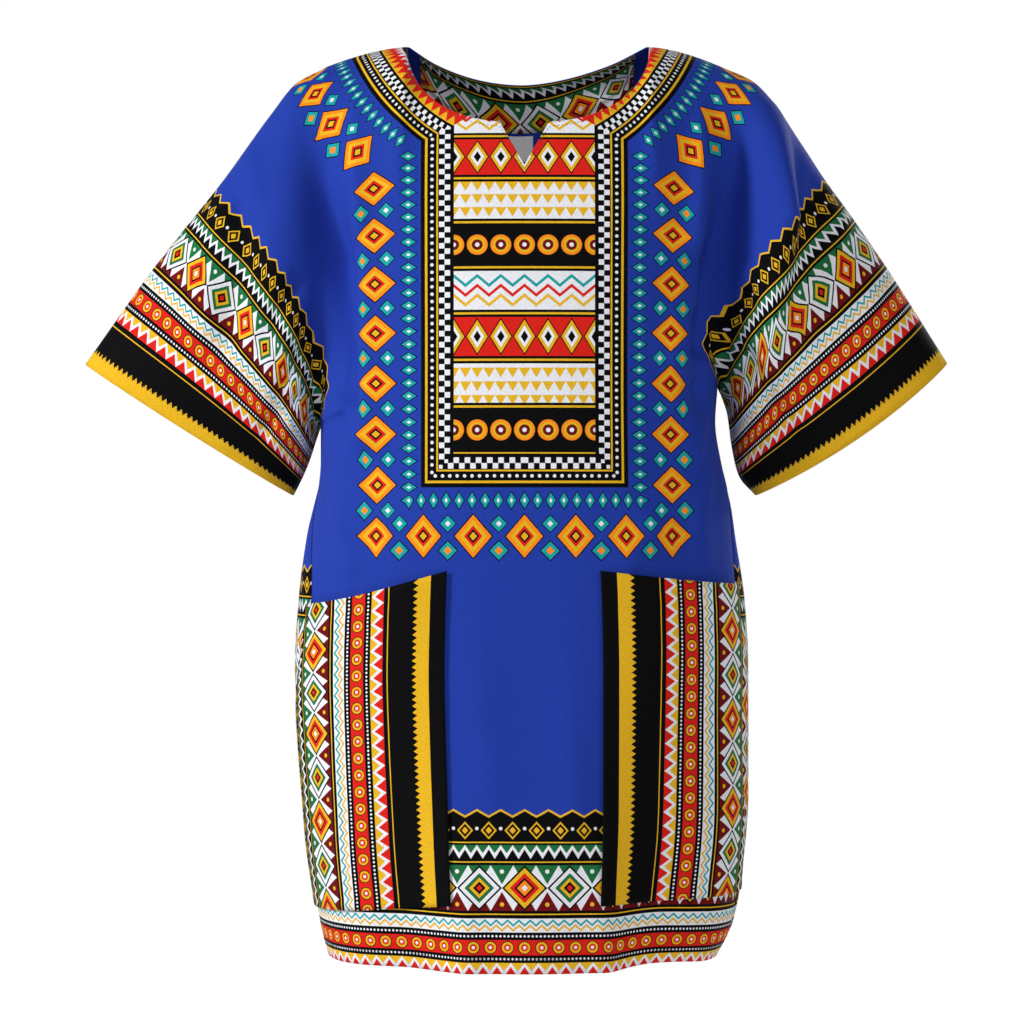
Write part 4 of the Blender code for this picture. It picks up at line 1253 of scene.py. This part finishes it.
class ShirtColours(bpy.types.PropertyGroup):
    """Colours of the print and the thread."""
    ground: dye_property("Ground", "Royal blue of the plain cloth", "213A9C")
    black: dye_property("Black", "Outlines and plain border band", "08080A")
    yellow: dye_property("Yellow", "Selvedge band and motifs", "DDAC22")
    white: dye_property("White", "Stripes and dots", "E0E1E7")
    red: dye_property("Red", "Stripes and motifs", "D2211A")
    orange: dye_property("Orange", "Motifs round the neck panel", "F0871C")
    teal: dye_property("Teal", "Small diamonds and zigzags", "1C9A9C")
    green: dye_property("Green", "Border motifs", "1E6A3C")
    maroon: dye_property("Maroon", "Border motifs", "6A1016")
    thread: dye_property("Thread", "Topstitching", "141318")
    overlock: dye_property("Overlock thread", "Thread that binds the facing's cut edge", "5A3020")


class ShirtSizes(bpy.types.PropertyGroup):
    """Sizes of the cloth and the sewing."""
    cloth: length_property("Cloth", "Thickness of the cotton with its allowances", CLOTH, 0.2 * MM, 2.0 * MM)
    puff: length_property("Pocket puff", "How far the pockets stand off the front", 2.6 * MM, 0.0, 6.0 * MM)
    stitch: length_property("Stitch", "Length of one stitch", 2.6 * MM, MM, 6.0 * MM)
    gap: length_property("Stitch gap", "Cloth between two stitches", 0.8 * MM, 0.2 * MM, 3.0 * MM)
    thread: length_property("Thread", "Thickness of the topstitching thread", 0.45 * MM, 0.1 * MM, MM)


# ---- Operators ----
class SHIRT_OT_panels(bpy.types.Operator):
    """Drape the front and the back, each cut in one with its half sleeves"""
    bl_idname = "shirt.panels"
    bl_label = "Front and back"

    def execute(self, context):
        dye, sizes = context.scene.shirt_colours, context.scene.shirt_sizes
        for panel, name, area in ((FRONT_PANEL, "front", FRONT_AREA), (BACK_PANEL, "back", BACK_AREA)):
            material = printed_cotton("printed cotton " + name, panel.front, dye)
            piece = make_panel(name + "_cloth", panel, material, sizes.cloth)
            hand_over(piece, name)
        return {"FINISHED"}


class SHIRT_OT_pockets(bpy.types.Operator):
    """Lay the two patch pockets on the front"""
    bl_idname = "shirt.pockets"
    bl_label = "Pockets"

    def execute(self, context):
        material = border_cotton("border cotton pockets", context.scene.shirt_colours)
        for name, sign, cut in (("pocket_left", -1, POCKET_LEFT_CUT), ("pocket_right", 1, POCKET_RIGHT_CUT)):
            piece = make_pocket(name + "_cloth", sign, context.scene.shirt_sizes.puff, material)
            hand_over(piece, name)
        return {"FINISHED"}


class SHIRT_OT_neck(bpy.types.Operator):
    """Turn the facing inside the back neck and hang the label under it"""
    bl_idname = "shirt.neck"
    bl_label = "Facing and label"

    def execute(self, context):
        dye, sizes = context.scene.shirt_colours, context.scene.shirt_sizes
        facing = make_facing("neck_facing_cloth", border_cotton("border cotton facing", dye), sizes.cloth)
        hand_over(facing, "neck_facing")
        label = make_label("label_tape", woven_label("woven label tape"))
        hand_over(label, "label")
        return {"FINISHED"}


class SHIRT_OT_stitching(bpy.types.Operator):
    """Sew the topstitching and the facing's bound edge"""
    bl_idname = "shirt.stitching"
    bl_label = "Stitching"

    def execute(self, context):
        dye, sizes = context.scene.shirt_colours, context.scene.shirt_sizes
        dark = sewing_thread("polyester thread dark", dye.thread)
        rows = make_stitching("topstitching", dark, sizes.stitch, sizes.gap, sizes.thread, sizes.puff)
        hand_over(rows, None)
        brown = sewing_thread("polyester thread brown", dye.overlock)
        hand_over(make_overlock("facing_overlock", brown, sizes.thread), None)
        return {"FINISHED"}


class SHIRT_OT_stage(bpy.types.Operator):
    """Set the pale floor, the soft lights and the camera of the photo's view"""
    bl_idname = "shirt.stage"
    bl_label = "Stage"

    def execute(self, context):
        scene = context.scene
        scene.view_settings.view_transform = "Standard"
        bm = bmesh.new()
        bmesh.ops.create_grid(bm, x_segments=1, y_segments=1, size=FLOOR_HALF)
        bmesh.ops.translate(bm, verts=bm.verts, vec=(0.0, 0.0, FLOOR_Z))
        new_piece("floor", bm, studio_paper("white studio paper"))
        for lamp in LAMPS:
            light = bpy.data.objects.new(lamp.name, bpy.data.lights.new(lamp.name, "AREA"))
            light.data.energy = lamp.power
            light.data.size = lamp.size
            light.location = lamp.place
            light.rotation_euler = (Vector(BODY_MIDDLE) - Vector(lamp.place)).to_track_quat("-Z", "Y").to_euler()
            scene.collection.objects.link(light)
        world = bpy.data.worlds.new("studio")
        world.use_nodes = True
        tree = world.node_tree
        # The surroundings are brightest behind the shirt, as a lit white backdrop is
        y = add(tree, "ShaderNodeSeparateXYZ", add(tree, "ShaderNodeTexCoord", out="Generated"), out="Y")
        strength = add(tree, "ShaderNodeMapRange", y, *BACKDROP_EDGE, AMBIENT, BACKDROP)
        tree.nodes["Background"].inputs["Color"].default_value = (1.0, 1.0, 1.0, 1.0)
        tree.links.new(strength, tree.nodes["Background"].inputs["Strength"])
        scene.world = world
        camera = bpy.data.objects.new("camera", bpy.data.cameras.new("camera"))
        camera.location = CAMERA_PLACE
        camera.rotation_euler = (math.radians(90.0), 0.0, 0.0)
        camera.data.sensor_width = SENSOR
        camera.data.lens = -SENSOR * CAMERA_PLACE[1] / PHOTO_WIDTH
        scene.collection.objects.link(camera)
        scene.camera = camera
        return {"FINISHED"}


class SHIRT_PT_sidebar(bpy.types.Panel):
    """Shirt settings and steps"""
    bl_idname = "SHIRT_PT_sidebar"
    bl_label = "Dashiki shirt"
    bl_space_type = "VIEW_3D"
    bl_region_type = "UI"
    bl_category = "Shirt"

    def draw(self, context):
        for operator in OPERATORS:
            self.layout.operator(operator.bl_idname)
        for group in (context.scene.shirt_sizes, context.scene.shirt_colours):
            for name in group.__annotations__:
                self.layout.prop(group, name)


OPERATORS = (SHIRT_OT_panels, SHIRT_OT_pockets, SHIRT_OT_neck, SHIRT_OT_stitching, SHIRT_OT_stage)
CLASSES = (ShirtColours, ShirtSizes, *OPERATORS, SHIRT_PT_sidebar)


def register():
    for cls in CLASSES:
        bpy.utils.register_class(cls)
    bpy.types.Scene.shirt_colours = bpy.props.PointerProperty(type=ShirtColours)
    bpy.types.Scene.shirt_sizes = bpy.props.PointerProperty(type=ShirtSizes)


def unregister():
    del bpy.types.Scene.shirt_sizes
    del bpy.types.Scene.shirt_colours
    for cls in reversed(CLASSES):
        bpy.utils.unregister_class(cls)


def main():
    register()
    bpy.ops.shirt.panels()
    bpy.ops.shirt.pockets()
    bpy.ops.shirt.neck()
    bpy.ops.shirt.stitching()
    bpy.ops.shirt.stage()


if __name__ == "__main__":
    main()
